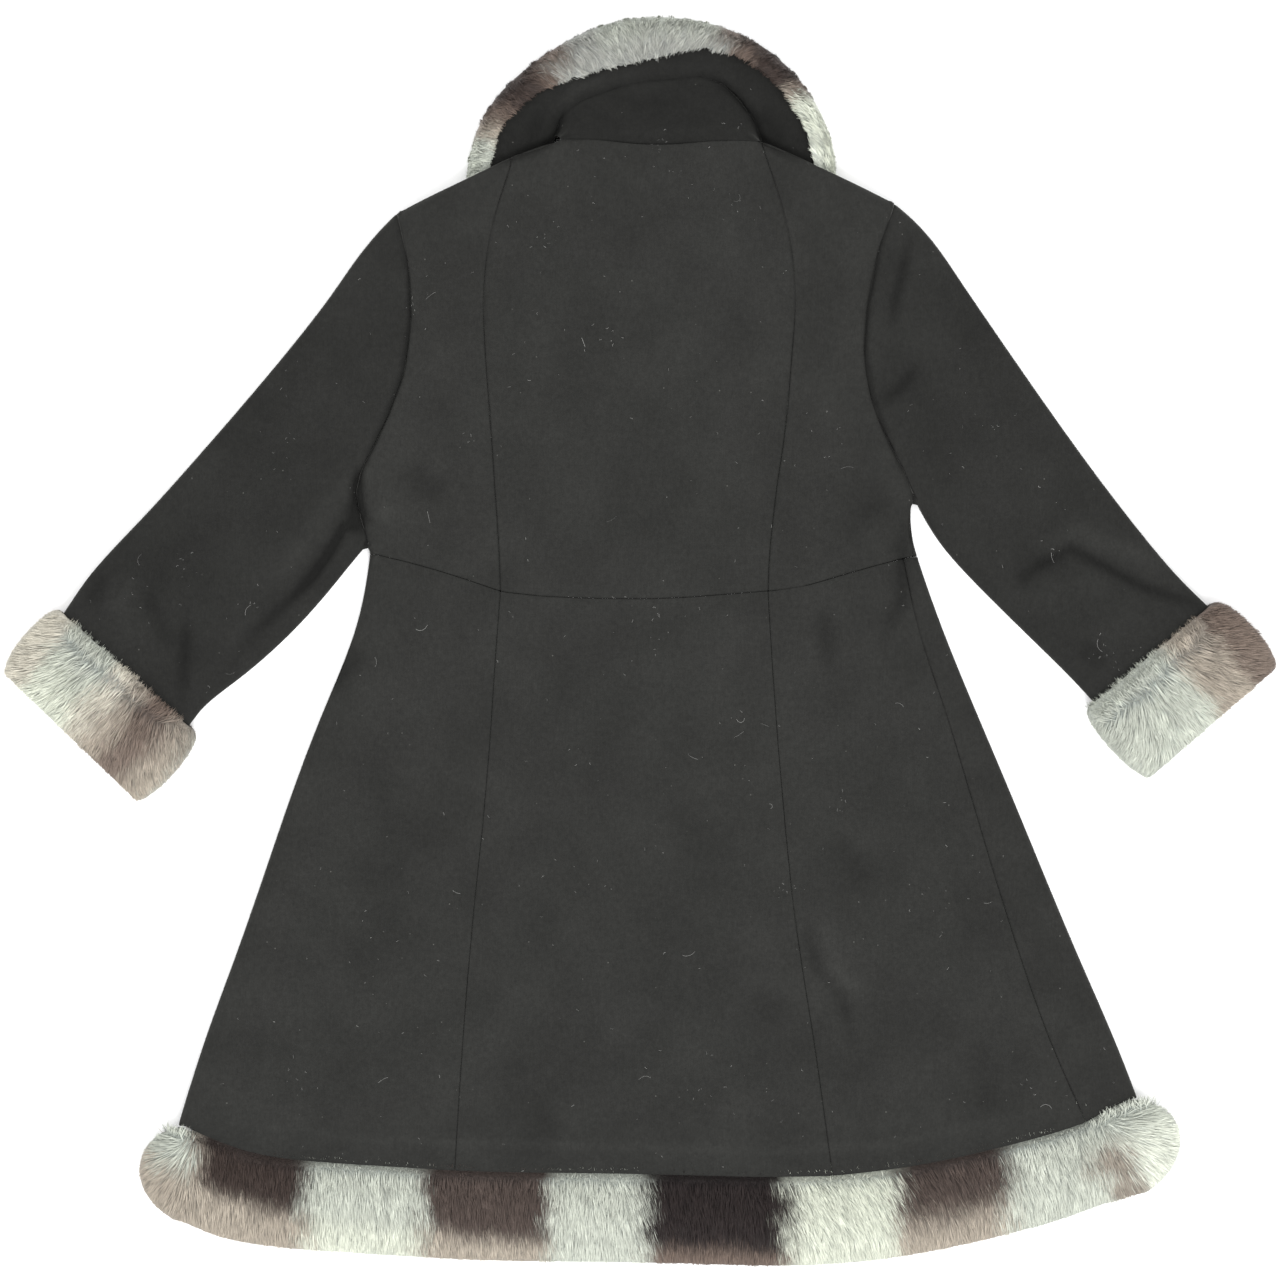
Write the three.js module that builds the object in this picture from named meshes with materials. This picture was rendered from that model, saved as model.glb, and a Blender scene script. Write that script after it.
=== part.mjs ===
// A child's princess coat in thick wool, laid flat with its back upwards. The collar, cuffs and hem are
// trimmed with deep-pile fur. Units are millimetres, +Z is up, and the origin is on the surface that the
// coat lies on, under the middle of its outline. +Y points from the hem to the collar, and +X to the
// right as the back is looked at. The two layers of the body lie on each other, and so do each sleeve's.
//
// Every cloth piece is a wall around one thin closed ring: a sheet half way up the two layers carries
// the shape, and a point of the cloth stands off that sheet along a direction that turns from straight up
// on the upper layer, through sideways at a fold, to straight down on the lower layer.
import * as THREE from "three";

// ---- driving dimensions ----
const CLOTH = 2.6; // thickness of the wool with its lining
const HALF_STACK = 4.4; // half the height of the two layers
const SEAM_GAP = 0.4; // between two pieces at a seam
const ARMHOLE_GAP = 0.85;
const SEAM_DIP = 0.55; // how far the cloth sinks at a seam
const SEAM_REACH = 3; // how far from the seam it starts to sink
const CENTRE_FRONT = 7; // x of the front opening
const QUARTER = Math.PI / 2;
const HALF = Math.PI;

// The body seen from above: its left and right edges (armhole, then side), the two princess seams,
// and the side seam on the right, which lies on the upper layer below the waist.
const BODY_ROWS = [
  { y: 300, left: -148, leftSeam: -74, rightSeam: 72, sideSeam: 163, right: 154 },
  { y: 262, left: -146.5, leftSeam: -82.8, rightSeam: 83, sideSeam: 163, right: 151.8 },
  { y: 240, left: -140.8, leftSeam: -91.2, rightSeam: 92, sideSeam: 163, right: 144 },
  { y: 205, left: -136.6, leftSeam: -94.1, rightSeam: 93.8, sideSeam: 163, right: 136.6 },
  { y: 164, left: -140.4, leftSeam: -92.2, rightSeam: 90.2, sideSeam: 163, right: 133.6 },
  { y: 127, left: -154.2, leftSeam: -89.6, rightSeam: 87.6, sideSeam: 163, right: 145 },
  { y: 98, left: -168.6, leftSeam: -87.6, rightSeam: 83, sideSeam: 163, right: 160 },
  { y: 86, left: -170.6, leftSeam: -87, rightSeam: 81.6, sideSeam: 163, right: 163.6 },
  { y: 70, left: -166.2, leftSeam: -85.6, rightSeam: 79.5, sideSeam: 163, right: 162.4 },
  { y: 56, left: -162.6, leftSeam: -84.8, rightSeam: 78.2, sideSeam: 162.4, right: 165.6 },
  { y: 30, left: -164, leftSeam: -84, rightSeam: 77, sideSeam: 162.6, right: 173 },
  { y: 5, left: -169.5, leftSeam: -86, rightSeam: 78.3, sideSeam: 167, right: 182.4 },
  { y: -36, left: -188.4, leftSeam: -88.4, rightSeam: 80.9, sideSeam: 181.5, right: 199.5 },
  { y: -96, left: -211.2, leftSeam: -93, rightSeam: 85.8, sideSeam: 199.5, right: 225 },
  { y: -168, left: -235.2, leftSeam: -100.5, rightSeam: 93, sideSeam: 221.2, right: 254.4 },
  { y: -240, left: -261.6, leftSeam: -106.4, rightSeam: 104.4, sideSeam: 246, right: 285.4 },
  { y: -325, left: -287, leftSeam: -111.5, rightSeam: 116, sideSeam: 284, right: 317 },
];

// The shoulder seams and, between them, the back neck seam.
const SHOULDER_ROWS = [
  { x: -150, y: 254 },
  { x: -129.6, y: 264 },
  { x: -103.8, y: 276 },
  { x: -84, y: 285.8 },
  { x: -60, y: 295.4 },
  { x: -47, y: 299.4 },
  { x: -26, y: 299 },
  { x: 8, y: 296.2 },
  { x: 52, y: 298.4 },
  { x: 73, y: 297.6 },
  { x: 97, y: 288 },
  { x: 120, y: 277.2 },
  { x: 156, y: 260 },
];

const WAIST_ROWS = [
  { x: -170, y: 54 },
  { x: -132, y: 44.8 },
  { x: -100, y: 35 },
  { x: -80, y: 28.6 },
  { x: -44, y: 25.6 },
  { x: 0, y: 24.7 },
  { x: 76, y: 29.4 },
  { x: 90, y: 30.4 },
  { x: 118, y: 38 },
  { x: 147, y: 46.2 },
  { x: 180, y: 54 },
];

// The lower edge of the wool, above the hem's fur.
const HEM_ROWS = [
  { x: -300, y: -288 },
  { x: -277, y: -289.5 },
  { x: -262, y: -302 },
  { x: -220, y: -311 },
  { x: -166, y: -315 },
  { x: -98, y: -319 },
  { x: 0, y: -320.5 },
  { x: 90, y: -322.5 },
  { x: 150, y: -318 },
  { x: 227, y: -301.8 },
  { x: 264, y: -291 },
  { x: 290, y: -277 },
  { x: 325, y: -268 },
];

// Each sleeve in rows from the armhole (0) through the cuff's seam (1) to the cuff's end (1.2): its outer
// edge and its underarm edge.
const LEFT_SLEEVE_ROWS = [
  { at: 0, outerX: -145.8, outerY: 256.2, innerX: -162.4, innerY: 57.6 },
  { at: 0.08, outerX: -163.2, outerY: 239.6, innerX: -170.6, innerY: 48.6 },
  { at: 0.2, outerX: -185, outerY: 208.2, innerX: -182.4, innerY: 34.5 },
  { at: 0.4, outerX: -224.5, outerY: 158.8, innerX: -202.8, innerY: 10.8 },
  { at: 0.6, outerX: -266, outerY: 110.8, innerX: -225.2, innerY: -10.9 },
  { at: 0.8, outerX: -308.2, outerY: 63.7, innerX: -249.4, innerY: -30.5 },
  { at: 0.9, outerX: -330, outerY: 40.8, innerX: -261.7, innerY: -40.1 },
  { at: 1, outerX: -346.8, outerY: 14.4, innerX: -270.6, innerY: -52.8 },
  { at: 1.2, outerX: -378.6, outerY: -23, innerX: -304.5, innerY: -94 },
];
const RIGHT_SLEEVE_ROWS = [
  { at: 0, outerX: 151.6, outerY: 261.8, innerX: 164.2, innerY: 85.4 },
  { at: 0.08, outerX: 170.6, outerY: 247, innerX: 170.2, innerY: 73.6 },
  { at: 0.2, outerX: 192.6, outerY: 216.2, innerX: 180.6, innerY: 57 },
  { at: 0.4, outerX: 228, outerY: 164.8, innerX: 202.7, innerY: 32.5 },
  { at: 0.6, outerX: 263.9, outerY: 113.9, innerX: 226.2, innerY: 9.1 },
  { at: 0.8, outerX: 301.4, outerY: 64.1, innerX: 249.7, innerY: -14.2 },
  { at: 0.9, outerX: 321, outerY: 39.6, innerX: 261.2, innerY: -26.2 },
  { at: 1, outerX: 342.6, outerY: 19, innerX: 272.4, innerY: -38.4 },
  { at: 1.2, outerX: 379, outerY: -19, innerX: 308.5, innerY: -80.5 },
];

// The collar around the neck, by direction from its centre (0 points to +X, 90 to +Y): the outer edge of
// the fur, the inner edge of the fur that shows from above, and the roll line where the stand ends.
const COLLAR = { x: 7.2, y: 277.8 };
const COLLAR_ROWS = [
  { angle: -84, outer: 103, furEdge: 90, roll: 58 },
  { angle: -45, outer: 110, furEdge: 97, roll: 60 },
  { angle: 0, outer: 112.6, furEdge: 98, roll: 67 },
  { angle: 30, outer: 108.8, furEdge: 93.4, roll: 69.5 },
  { angle: 52, outer: 104.4, furEdge: 89, roll: 69.8 },
  { angle: 66, outer: 101.2, furEdge: 84, roll: 66 },
  { angle: 80, outer: 98.8, furEdge: 74.5, roll: 58.6 },
  { angle: 104, outer: 97.6, furEdge: 67, roll: 56.8 },
  { angle: 124, outer: 98.4, furEdge: 73, roll: 59 },
  { angle: 142, outer: 102.6, furEdge: 83, roll: 64.5 },
  { angle: 158, outer: 109, furEdge: 93, roll: 62.5 },
  { angle: 180, outer: 112.8, furEdge: 97.6, roll: 60 },
  { angle: 225, outer: 110, furEdge: 97, roll: 59 },
  { angle: 264, outer: 103, furEdge: 90, roll: 58 },
];

// The largest folds of the upper layer, as soft troughs (height below zero) and ridges along a line.
const FOLDS = [
  { x1: -174, y1: 84, x2: -238, y2: -8, width: 9, height: -2.4 }, // below the left underarm
  { x1: -183, y1: 94, x2: -236, y2: 22, width: 15, height: 1.4 },
  { x1: 237, y1: 46, x2: 340, y2: 22, width: 12, height: -2.2 }, // above the right cuff
  { x1: 240, y1: 22, x2: 316, y2: 8, width: 16, height: 1.6 },
  { x1: 162, y1: 240, x2: 152, y2: 150, width: 9, height: -1.6 }, // beside the right armhole
  { x1: -144, y1: 102, x2: -108, y2: 60, width: 16, height: -1.2 }, // the bodice at the underarms
  { x1: 150, y1: 84, x2: 112, y2: 45, width: 14, height: -1.4 },
  { x1: 96, y1: -172, x2: 128, y2: -244, width: 12, height: -1.5 }, // the skirt
  { x1: 140, y1: -160, x2: 176, y2: -262, width: 24, height: 1.3 },
  { x1: 49, y1: -205, x2: 90, y2: -232, width: 14, height: -1 },
  { x1: -30, y1: -60, x2: -44, y2: -280, width: 30, height: 1.1 },
  { x1: -180, y1: -32, x2: -140, y2: -4, width: 12, height: -1 },
];
const DEEPEST_FOLD = 2 * (HALF_STACK - CLOTH) - 0.5; // deeper, and the two layers would cross

// How the coat is held off the surface by the fur that lies under it.
const COLLAR_LIFT = 16.8;
const NECK_SAG = 7; // the back neck hangs this much lower between the shoulders
const CUFF_LIFT = 9;
const HEM_LIFT = 6.8;
const LIFT_REACH = { collarFrom: 1.1, collarTo: 1.6, hem: 85, cuffFrom: 0.66, cuffTo: 0.92 };
const ARMHOLE_FADE = 0.3; // over this much of a sleeve its rows turn from the armhole's curve to straight

// ---- helpers ----
const clamp01 = (v) => Math.min(1, Math.max(0, v));
const lerp = (a, b, t) => a + (b - a) * t;
const ease = (from, to, v) => {
  const t = clamp01((v - from) / (to - from));
  return t * t * (3 - 2 * t);
};
const radians = (degrees) => (degrees * Math.PI) / 180;
const shares = (count) => Array.from({ length: count + 1 }, (_, i) => i / count);

// A smooth curve through a table's rows that never swings past them, and is constant outside them.
function through(rows, key, column) {
  const sorted = [...rows].sort((a, b) => a[key] - b[key]);
  const xs = sorted.map((row) => row[key]);
  const ys = sorted.map((row) => row[column]);
  const last = xs.length - 1;
  const rise = xs.slice(1).map((x, i) => (ys[i + 1] - ys[i]) / (x - xs[i]));
  const slopes = ys.map((_, i) => {
    if (i === 0) return rise[0];
    if (i === last) return rise[last - 1];
    const [before, after] = [xs[i] - xs[i - 1], xs[i + 1] - xs[i]];
    const middle = (rise[i - 1] * after + rise[i] * before) / (before + after);
    const limit = 2 * Math.min(Math.abs(rise[i - 1]), Math.abs(rise[i]));
    if (rise[i - 1] * rise[i] <= 0) return 0;
    return Math.sign(middle) * Math.min(Math.abs(middle), limit);
  });
  return (at) => {
    const v = Math.min(xs[last], Math.max(xs[0], at));
    let i = 0;
    while (i < last - 1 && v > xs[i + 1]) i++;
    const width = xs[i + 1] - xs[i];
    const t = (v - xs[i]) / width;
    const [t2, t3] = [t * t, t * t * t];
    return (
      ys[i] * (2 * t3 - 3 * t2 + 1) +
      ys[i + 1] * (3 * t2 - 2 * t3) +
      width * (slopes[i] * (t3 - 2 * t2 + t) + slopes[i + 1] * (t3 - t2))
    );
  };
}

const edge = {};
for (const column of ["left", "leftSeam", "rightSeam", "sideSeam", "right"])
  edge[column] = through(BODY_ROWS, "y", column);
const shoulderY = through(SHOULDER_ROWS, "x", "y");
const waistY = through(WAIST_ROWS, "x", "y");
const hemY = through(HEM_ROWS, "x", "y");
const collarAt = {};
for (const column of ["outer", "furEdge", "roll"])
  collarAt[column] = through(COLLAR_ROWS, "angle", column);

function collarAngle(x, y) {
  const degrees = THREE.MathUtils.radToDeg(Math.atan2(y - COLLAR.y, x - COLLAR.x));
  return degrees < -90 ? degrees + 360 : degrees;
}

// How high the coat's underside is above the surface.
function bodyLift(x, y) {
  const out = Math.hypot(x - COLLAR.x, y - COLLAR.y) / collarAt.outer(collarAngle(x, y));
  const overCollar = COLLAR_LIFT * (1 - ease(LIFT_REACH.collarFrom, LIFT_REACH.collarTo, out));
  const sag = NECK_SAG * (1 - ease(0.15, 0.5, out));
  const overHem = HEM_LIFT * (1 - ease(4, LIFT_REACH.hem, y - hemY(x)));
  return overCollar - sag + overHem;
}

// The height that the folds add to the upper layer.
function foldHeight(x, y) {
  let sum = 0;
  for (const fold of FOLDS) {
    const [dx, dy] = [fold.x2 - fold.x1, fold.y2 - fold.y1];
    const t = clamp01(((x - fold.x1) * dx + (y - fold.y1) * dy) / (dx * dx + dy * dy));
    const away = Math.hypot(x - fold.x1 - t * dx, y - fold.y1 - t * dy) / fold.width;
    const fade = ease(-0.05, 0.25, t) * (1 - ease(0.75, 1.05, t));
    sum += fold.height * fade * Math.exp(-away * away);
  }
  return Math.max(-DEEPEST_FOLD, sum);
}

// A closed wall between an outer and an inner grid of points, both indexed [row][column]. A ring closes on
// itself across the columns.
function wall(name, material, outer, inner, ring = false) {
  const [rows, columns] = [outer.length, outer[0].length];
  const points = [...outer.flat(), ...inner.flat()];
  const out = (i, j) => i * columns + (j % columns);
  const into = (i, j) => rows * columns + out(i, j);
  const index = [];
  const quad = (a, b, c, d) => index.push(a, b, c, a, c, d);
  const lastColumn = ring ? columns : columns - 1;
  for (let i = 0; i < rows - 1; i++)
    for (let j = 0; j < lastColumn; j++) {
      quad(out(i, j), out(i, j + 1), out(i + 1, j + 1), out(i + 1, j));
      quad(into(i, j), into(i + 1, j), into(i + 1, j + 1), into(i, j + 1));
    }
  for (let j = 0; j < lastColumn; j++) {
    quad(out(0, j), into(0, j), into(0, j + 1), out(0, j + 1));
    quad(out(rows - 1, j), out(rows - 1, j + 1), into(rows - 1, j + 1), into(rows - 1, j));
  }
  if (!ring)
    for (let i = 0; i < rows - 1; i++) {
      quad(out(i, 0), out(i + 1, 0), into(i + 1, 0), into(i, 0));
      quad(out(i, columns - 1), into(i, columns - 1), into(i + 1, columns - 1), out(i + 1, columns - 1));
    }
  if (signedVolume(points, index) < 0)
    for (let k = 0; k < index.length; k += 3)
      [index[k], index[k + 1]] = [index[k + 1], index[k]];
  const geometry = new THREE.BufferGeometry().setFromPoints(points).setIndex(index);
  geometry.computeVertexNormals();
  const mesh = new THREE.Mesh(geometry, material);
  mesh.name = name;
  return mesh;
}

function signedVolume(points, index) {
  let sum = 0;
  for (let k = 0; k < index.length; k += 3) {
    const [a, b, c] = [points[index[k]], points[index[k + 1]], points[index[k + 2]]];
    sum += a.dot(new THREE.Vector3().crossVectors(b, c));
  }
  return sum / 6;
}

// ---- the body's stations ----
// Across the body a station gives x at a height y, and along it a station gives y at a place x. turn is
// the angle from straight up, side the direction of a fold, and dip how far a seam draws the cloth in.
const station = (at, turn = () => 0, side = 1, dip = 0) => ({ at, turn, side, dip });

// A flat stretch of one layer between two edges, at each of the steps, sinking at the ends that are seams.
function run(from, to, steps, { layer = 0, seamFrom = false, seamTo = false } = {}) {
  const turn = () => layer;
  const sign = Math.sign(to(0) - from(0));
  const start = seamFrom ? SEAM_REACH * sign : 0;
  const end = seamTo ? SEAM_REACH * sign : 0;
  const list = steps.map((t) => station((v) => lerp(from(v) + start, to(v) - end, t), turn));
  if (seamFrom) list.unshift(station(from, turn, 1, SEAM_DIP));
  if (seamTo) list.push(station(to, turn, 1, SEAM_DIP));
  return list;
}

// A fold at an edge, from one turn to another. inset is how far the carrying sheet ends inside the edge.
function fold(edgeAt, side, turnFrom, turnTo, inset, count) {
  return shares(count).map((t) =>
    station(
      (v) => edgeAt(v) - side * inset(v),
      (v) => lerp(turnFrom(v), turnTo(v), t),
      side,
    ),
  );
}

// A point of the body's cloth, at a depth below its outer face.
function bodyPoint(across, along, depth) {
  let [x, y] = [0, along.at(0)];
  for (let pass = 0; pass < 12; pass++) {
    x = across.at(y);
    y = along.at(x);
  }
  const [turnX, turnY] = [across.turn(y), along.turn(x)];
  const normal = new THREE.Vector3(
    across.side * Math.sin(turnX),
    along.side * Math.sin(turnY),
    Math.cos(turnX) * Math.cos(turnY),
  ).normalize();
  const point = new THREE.Vector3(x, y, HALF_STACK + bodyLift(x, y));
  point.addScaledVector(normal, HALF_STACK - depth);
  point.z += foldHeight(x, y) * Math.max(0, normal.z);
  if (depth === 0) point.z -= Math.max(across.dip, along.dip) * Math.sign(normal.z);
  return point;
}

function bodyPiece(name, material, across, along) {
  const grid = (depth) => along.map((row) => across.map((column) => bodyPoint(column, row, depth)));
  return wall(name, material, grid(0), grid(CLOTH));
}

// How open the body's edge is: 1 along the armhole, where it is sewn to the sleeve, and 0 at the side.
const SIDES = {
  left: {
    edge: edge.left,
    sign: -1,
    open: (y) => ease(48, 72, y),
    seamTurn: () => QUARTER,
  },
  right: {
    edge: edge.right,
    sign: 1,
    open: (y) => ease(72, 94, y),
    seamTurn: (y) => lerp(radians(14), radians(84), ease(50, 76, y)),
  },
};
const FOLD_GAP = radians(7.5); // opens a seam that lies on a fold
const ARMHOLE_TURN = radians(30);

const insetOf = (side) => (y) => HALF_STACK * lerp(1, Math.sin(ARMHOLE_TURN), side.open(y));
const backTurn = (side) => (y) => lerp(side.seamTurn(y) - FOLD_GAP, ARMHOLE_TURN, side.open(y));
const frontTurn = (side) => (y) => lerp(side.seamTurn(y) + FOLD_GAP, HALF - ARMHOLE_TURN, side.open(y));
const sheetEdge = (side) => (y) => side.edge(y) - side.sign * insetOf(side)(y);
const offset = (f, by) => (v) => f(v) + by;

// The upper edge of the bodice: a fold at the shoulders, an open seam at the back neck.
const atNeck = (x) => ease(-58, -44, x) * (1 - ease(70, 82, x));
const shoulderTurn = (x) => lerp(QUARTER - FOLD_GAP, radians(20), atNeck(x));
const shoulderInset = (x) => HALF_STACK * Math.sin(lerp(QUARTER, radians(20), atNeck(x)));

// The front neckline follows the collar's roll line between the shoulders.
function frontTopY(x) {
  const reach = collarAt.roll(-60) + 2;
  const across = Math.min(0.995, Math.abs(x - COLLAR.x) / reach);
  const neckline = COLLAR.y - reach * Math.sqrt(1 - across * across);
  const shoulder = shoulderY(x);
  return lerp(neckline, shoulder, ease(0.9, 0.99, Math.abs(x - COLLAR.x) / reach));
}
const atFrontShoulder = (x) => ease(58, 68, Math.abs(x - COLLAR.x));
const frontShoulderTurn = (x) => atFrontShoulder(x) * (QUARTER - FOLD_GAP);

const wool = (color) => new THREE.MeshStandardMaterial({ color, roughness: 0.95, metalness: 0 });
const fur = (color) => new THREE.MeshStandardMaterial({ color, roughness: 0.85, metalness: 0 });
const WOOL = { back: wool(0x3a3a37), side: wool(0x373735), front: wool(0x343432), sleeve: wool(0x383836) };
const FUR = { hem: fur(0xa59c93), cuff: fur(0xaaa69c), collar: fur(0xb4b3a8) };

const coat = new THREE.Group();
coat.name = "princess_coat";

// ---- the bodice ----
// Rows from the shoulder to the waist, closer together at the underarm, and from the waist to the hem.
const BODICE_STEPS = [0, 0.14, 0.3, 0.45, 0.58, 0.68, 0.76, 0.83, 0.9, 0.96, 1];
const SKIRT_STEPS = [0, 0.12, 0.26, 0.4, 0.54, 0.67, 0.76, 0.83, 0.9, 0.96, 1];
const SEAM_TOP = 6; // from the shoulder seam to the first row below its fold
const waistUp = offset(waistY, SEAM_GAP / 2);
const waistDown = offset(waistY, -SEAM_GAP / 2);
const woolEnd = offset(hemY, SEAM_GAP);

const shoulderFold = fold(shoulderY, 1, shoulderTurn, () => 0, shoulderInset, 2);
const backBodiceAlong = [
  ...shoulderFold,
  ...run(offset(shoulderY, -SEAM_TOP), waistUp, BODICE_STEPS, { seamTo: true }),
];
const skirtAlong = run(waistDown, woolEnd, SKIRT_STEPS, { seamFrom: true });

const leftPrincess = offset(edge.leftSeam, SEAM_GAP / 2);
const rightPrincess = offset(edge.rightSeam, -SEAM_GAP / 2);
const centreAcross = run(leftPrincess, rightPrincess, shares(7), { seamFrom: true, seamTo: true });
coat.add(
  bodyPiece("back_bodice_centre", WOOL.back, centreAcross, backBodiceAlong),
  bodyPiece("back_skirt_centre", WOOL.back, centreAcross, skirtAlong),
);

// A side panel of the back, from its princess seam round half of the fold at the body's edge.
function sideAcross(side, seam) {
  return [
    ...run(offset(seam, (side.sign * SEAM_GAP) / 2), offset(sheetEdge(side), -side.sign), shares(4), {
      seamFrom: true,
    }),
    ...fold(side.edge, side.sign, () => 0, backTurn(side), insetOf(side), 3),
  ];
}
const leftAcross = sideAcross(SIDES.left, edge.leftSeam);
coat.add(
  bodyPiece("back_bodice_left", WOOL.side, leftAcross, backBodiceAlong),
  bodyPiece("back_bodice_right", WOOL.side, sideAcross(SIDES.right, edge.rightSeam), backBodiceAlong),
  bodyPiece("back_skirt_left", WOOL.side, leftAcross, skirtAlong),
);
// The right side seam lies on the upper layer below the waist, so this panel ends before the fold.
const skirtSeamRight = (y) => Math.min(edge.sideSeam(y), sheetEdge(SIDES.right)(y) - 5);
coat.add(
  bodyPiece(
    "back_skirt_right",
    WOOL.side,
    run(offset(edge.rightSeam, SEAM_GAP / 2), offset(skirtSeamRight, -SEAM_GAP / 2), shares(6), {
      seamFrom: true,
      seamTo: true,
    }),
    skirtAlong,
  ),
);

// ---- the fronts, under the back ----
const centreFront = (sign) => () => CENTRE_FRONT + sign * 0.6;
const frontInset = (x) => HALF_STACK * Math.sin(frontShoulderTurn(x));
const frontAlong = [
  ...fold(frontTopY, 1, frontShoulderTurn, () => 0, frontInset, 2),
  ...run(offset(frontTopY, -SEAM_TOP), waistUp, BODICE_STEPS, { seamTo: true }),
];
for (const name of ["left", "right"]) {
  const side = SIDES[name];
  const flatFrom = offset(sheetEdge(side), -side.sign);
  const under = run(flatFrom, centreFront(side.sign), shares(5), { layer: HALF });
  const sideFold = fold(side.edge, side.sign, frontTurn(side), () => HALF, insetOf(side), 3);
  coat.add(bodyPiece("front_bodice_" + name, WOOL.front, [...sideFold, ...under], frontAlong));
  const strip = [offset(skirtSeamRight, SEAM_GAP / 2), offset(sheetEdge(side), -0.5)];
  const wrapped = [
    ...run(...strip, shares(2), { seamFrom: true }),
    ...fold(side.edge, side.sign, () => radians(20), () => HALF, insetOf(side), 4),
  ];
  const skirtFold = name === "left" ? sideFold : wrapped;
  coat.add(bodyPiece("front_skirt_" + name, WOOL.front, [...skirtFold, ...under], skirtAlong));
}

// ---- the sleeves ----
// A sleeve's wall as a function of a row, a point of its ring and a distance off the carrying sheet.
function sleeveShape(rows, bodyEdge, sign) {
  const columns = {};
  for (const key of ["outerX", "outerY", "innerX", "innerY"]) columns[key] = through(rows, "at", key);
  const ends = (at) => {
    const outer = new THREE.Vector2(columns.outerX(at), columns.outerY(at));
    const inner = new THREE.Vector2(columns.innerX(at), columns.innerY(at));
    const over = inner.clone().sub(outer).normalize();
    return { outer, inner, over };
  };
  // t runs from the outer edge to the underarm edge, between the middles of the two folds.
  const onSheet = ({ outer, inner, over }, t) => {
    const from = outer.clone().addScaledVector(over, HALF_STACK);
    return from.lerp(inner.clone().addScaledVector(over, -HALF_STACK), t);
  };
  const armhole = ends(0);
  const toBody = (t, reach) => {
    const chord = onSheet(armhole, t).addScaledVector(armhole.over, reach);
    return bodyEdge(chord.y) + sign * ARMHOLE_GAP - chord.x;
  };
  const point = (at, { t, turn, side }, out) => {
    const row = ends(at);
    const place = onSheet(row, t);
    const reach = side * Math.sin(turn) * HALF_STACK;
    place.x += clamp01(1 - at / ARMHOLE_FADE) ** 2 * toBody(t, reach);
    const lift = bodyLift(place.x, place.y) * (1 - ease(0.1, 0.5, at));
    const cuffLift = CUFF_LIFT * ease(LIFT_REACH.cuffFrom, LIFT_REACH.cuffTo, at);
    const normal = new THREE.Vector3(row.over.x * reach, row.over.y * reach, Math.cos(turn) * HALF_STACK);
    const spot = new THREE.Vector3(place.x, place.y, HALF_STACK + lift + cuffLift);
    spot.addScaledVector(normal.normalize(), out);
    spot.z += foldHeight(place.x, place.y) * Math.max(0, normal.z);
    return spot;
  };
  // The columns of the sleeve's ring that meet the bodice's rows.
  const [top, bottom] = [onSheet(armhole, 0).y, onSheet(armhole, 1).y];
  const meets = backBodiceAlong
    .map((row) => (top - row.at(bodyEdge((top + bottom) / 2))) / (top - bottom))
    .filter((t) => t > 0.03 && t < 0.97);
  return { point, meets };
}

// The ring around a sleeve: the upper layer, the underarm fold, the lower layer and the outer fold.
const sleeveRing = (steps) => [
  ...steps.map((t) => ({ t, turn: 0, side: 1 })),
  ...[0, 45, 90, 135, 180].map((a) => ({ t: 1, turn: radians(a), side: 1 })),
  ...[...steps].reverse().map((t) => ({ t, turn: HALF, side: 1 })),
  ...[180, 135, 90, 45, 0].map((a) => ({ t: 0, turn: radians(a), side: -1 })),
];
const SLEEVE_AT = [0, 0.05, 0.12, 0.2, 0.3, 0.42, 0.54, 0.66, 0.75, 0.84, 0.92, 1, 1.08, 1.16];

function sleeve(name, { point, meets }) {
  const ring = sleeveRing(meets);
  const grid = (out) => SLEEVE_AT.map((at) => ring.map((p) => point(at, p, out)));
  return wall(name, WOOL.sleeve, grid(HALF_STACK), grid(HALF_STACK - CLOTH), true);
}

// ---- the cuffs ----
const CUFF_PILE = { top: 13, side: 12, under: CUFF_LIFT };
const CUFF_ROWS = [
  { at: 0.99, pile: 0.3 },
  { at: 1, pile: 0.6 },
  { at: 1.025, pile: 0.88 },
  { at: 1.07, pile: 1.04 },
  { at: 1.12, pile: 1 },
  { at: 1.16, pile: 0.84 },
  { at: 1.19, pile: 0.56 },
  { at: 1.2, pile: 0.36 },
];

// The depth of fur around a ring: its own at the top, at the sides and underneath.
function pileDepth(pile, share, turn) {
  const up = Math.cos(turn);
  const depth = up > 0 ? lerp(pile.side, pile.top, up * up) : lerp(pile.side, pile.under, up * up);
  return depth * share;
}

function onFloor(point) {
  point.z = Math.max(0, point.z);
  return point;
}

function cuff(name, { point }) {
  const ring = sleeveRing([0.08, 0.3, 0.5, 0.7, 0.92]);
  const inside = HALF_STACK + SEAM_GAP;
  const pile = (row, turn) => pileDepth(CUFF_PILE, underShare(row.pile, turn), turn);
  const skin = (row, p) => onFloor(point(row.at, p, inside + pile(row, p.turn)));
  const outer = CUFF_ROWS.map((row) => ring.map((p) => skin(row, p)));
  const inner = CUFF_ROWS.map((row) => ring.map((p) => point(row.at, p, inside)));
  return wall(name, FUR.cuff, outer, inner, true);
}

// Underneath, the fur is pressed flat, so it keeps its full depth nearly to its edges.
const underShare = (share, turn) => (Math.cos(turn) < -0.7 ? Math.min(1, share * 1.6) : share);

for (const [name, rows, bodyEdge, sign] of [
  ["left", LEFT_SLEEVE_ROWS, edge.left, -1],
  ["right", RIGHT_SLEEVE_ROWS, edge.right, 1],
]) {
  const shape = sleeveShape(rows, bodyEdge, sign);
  coat.add(sleeve("sleeve_" + name, shape), cuff("cuff_fur_" + name, shape));
}

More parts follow.
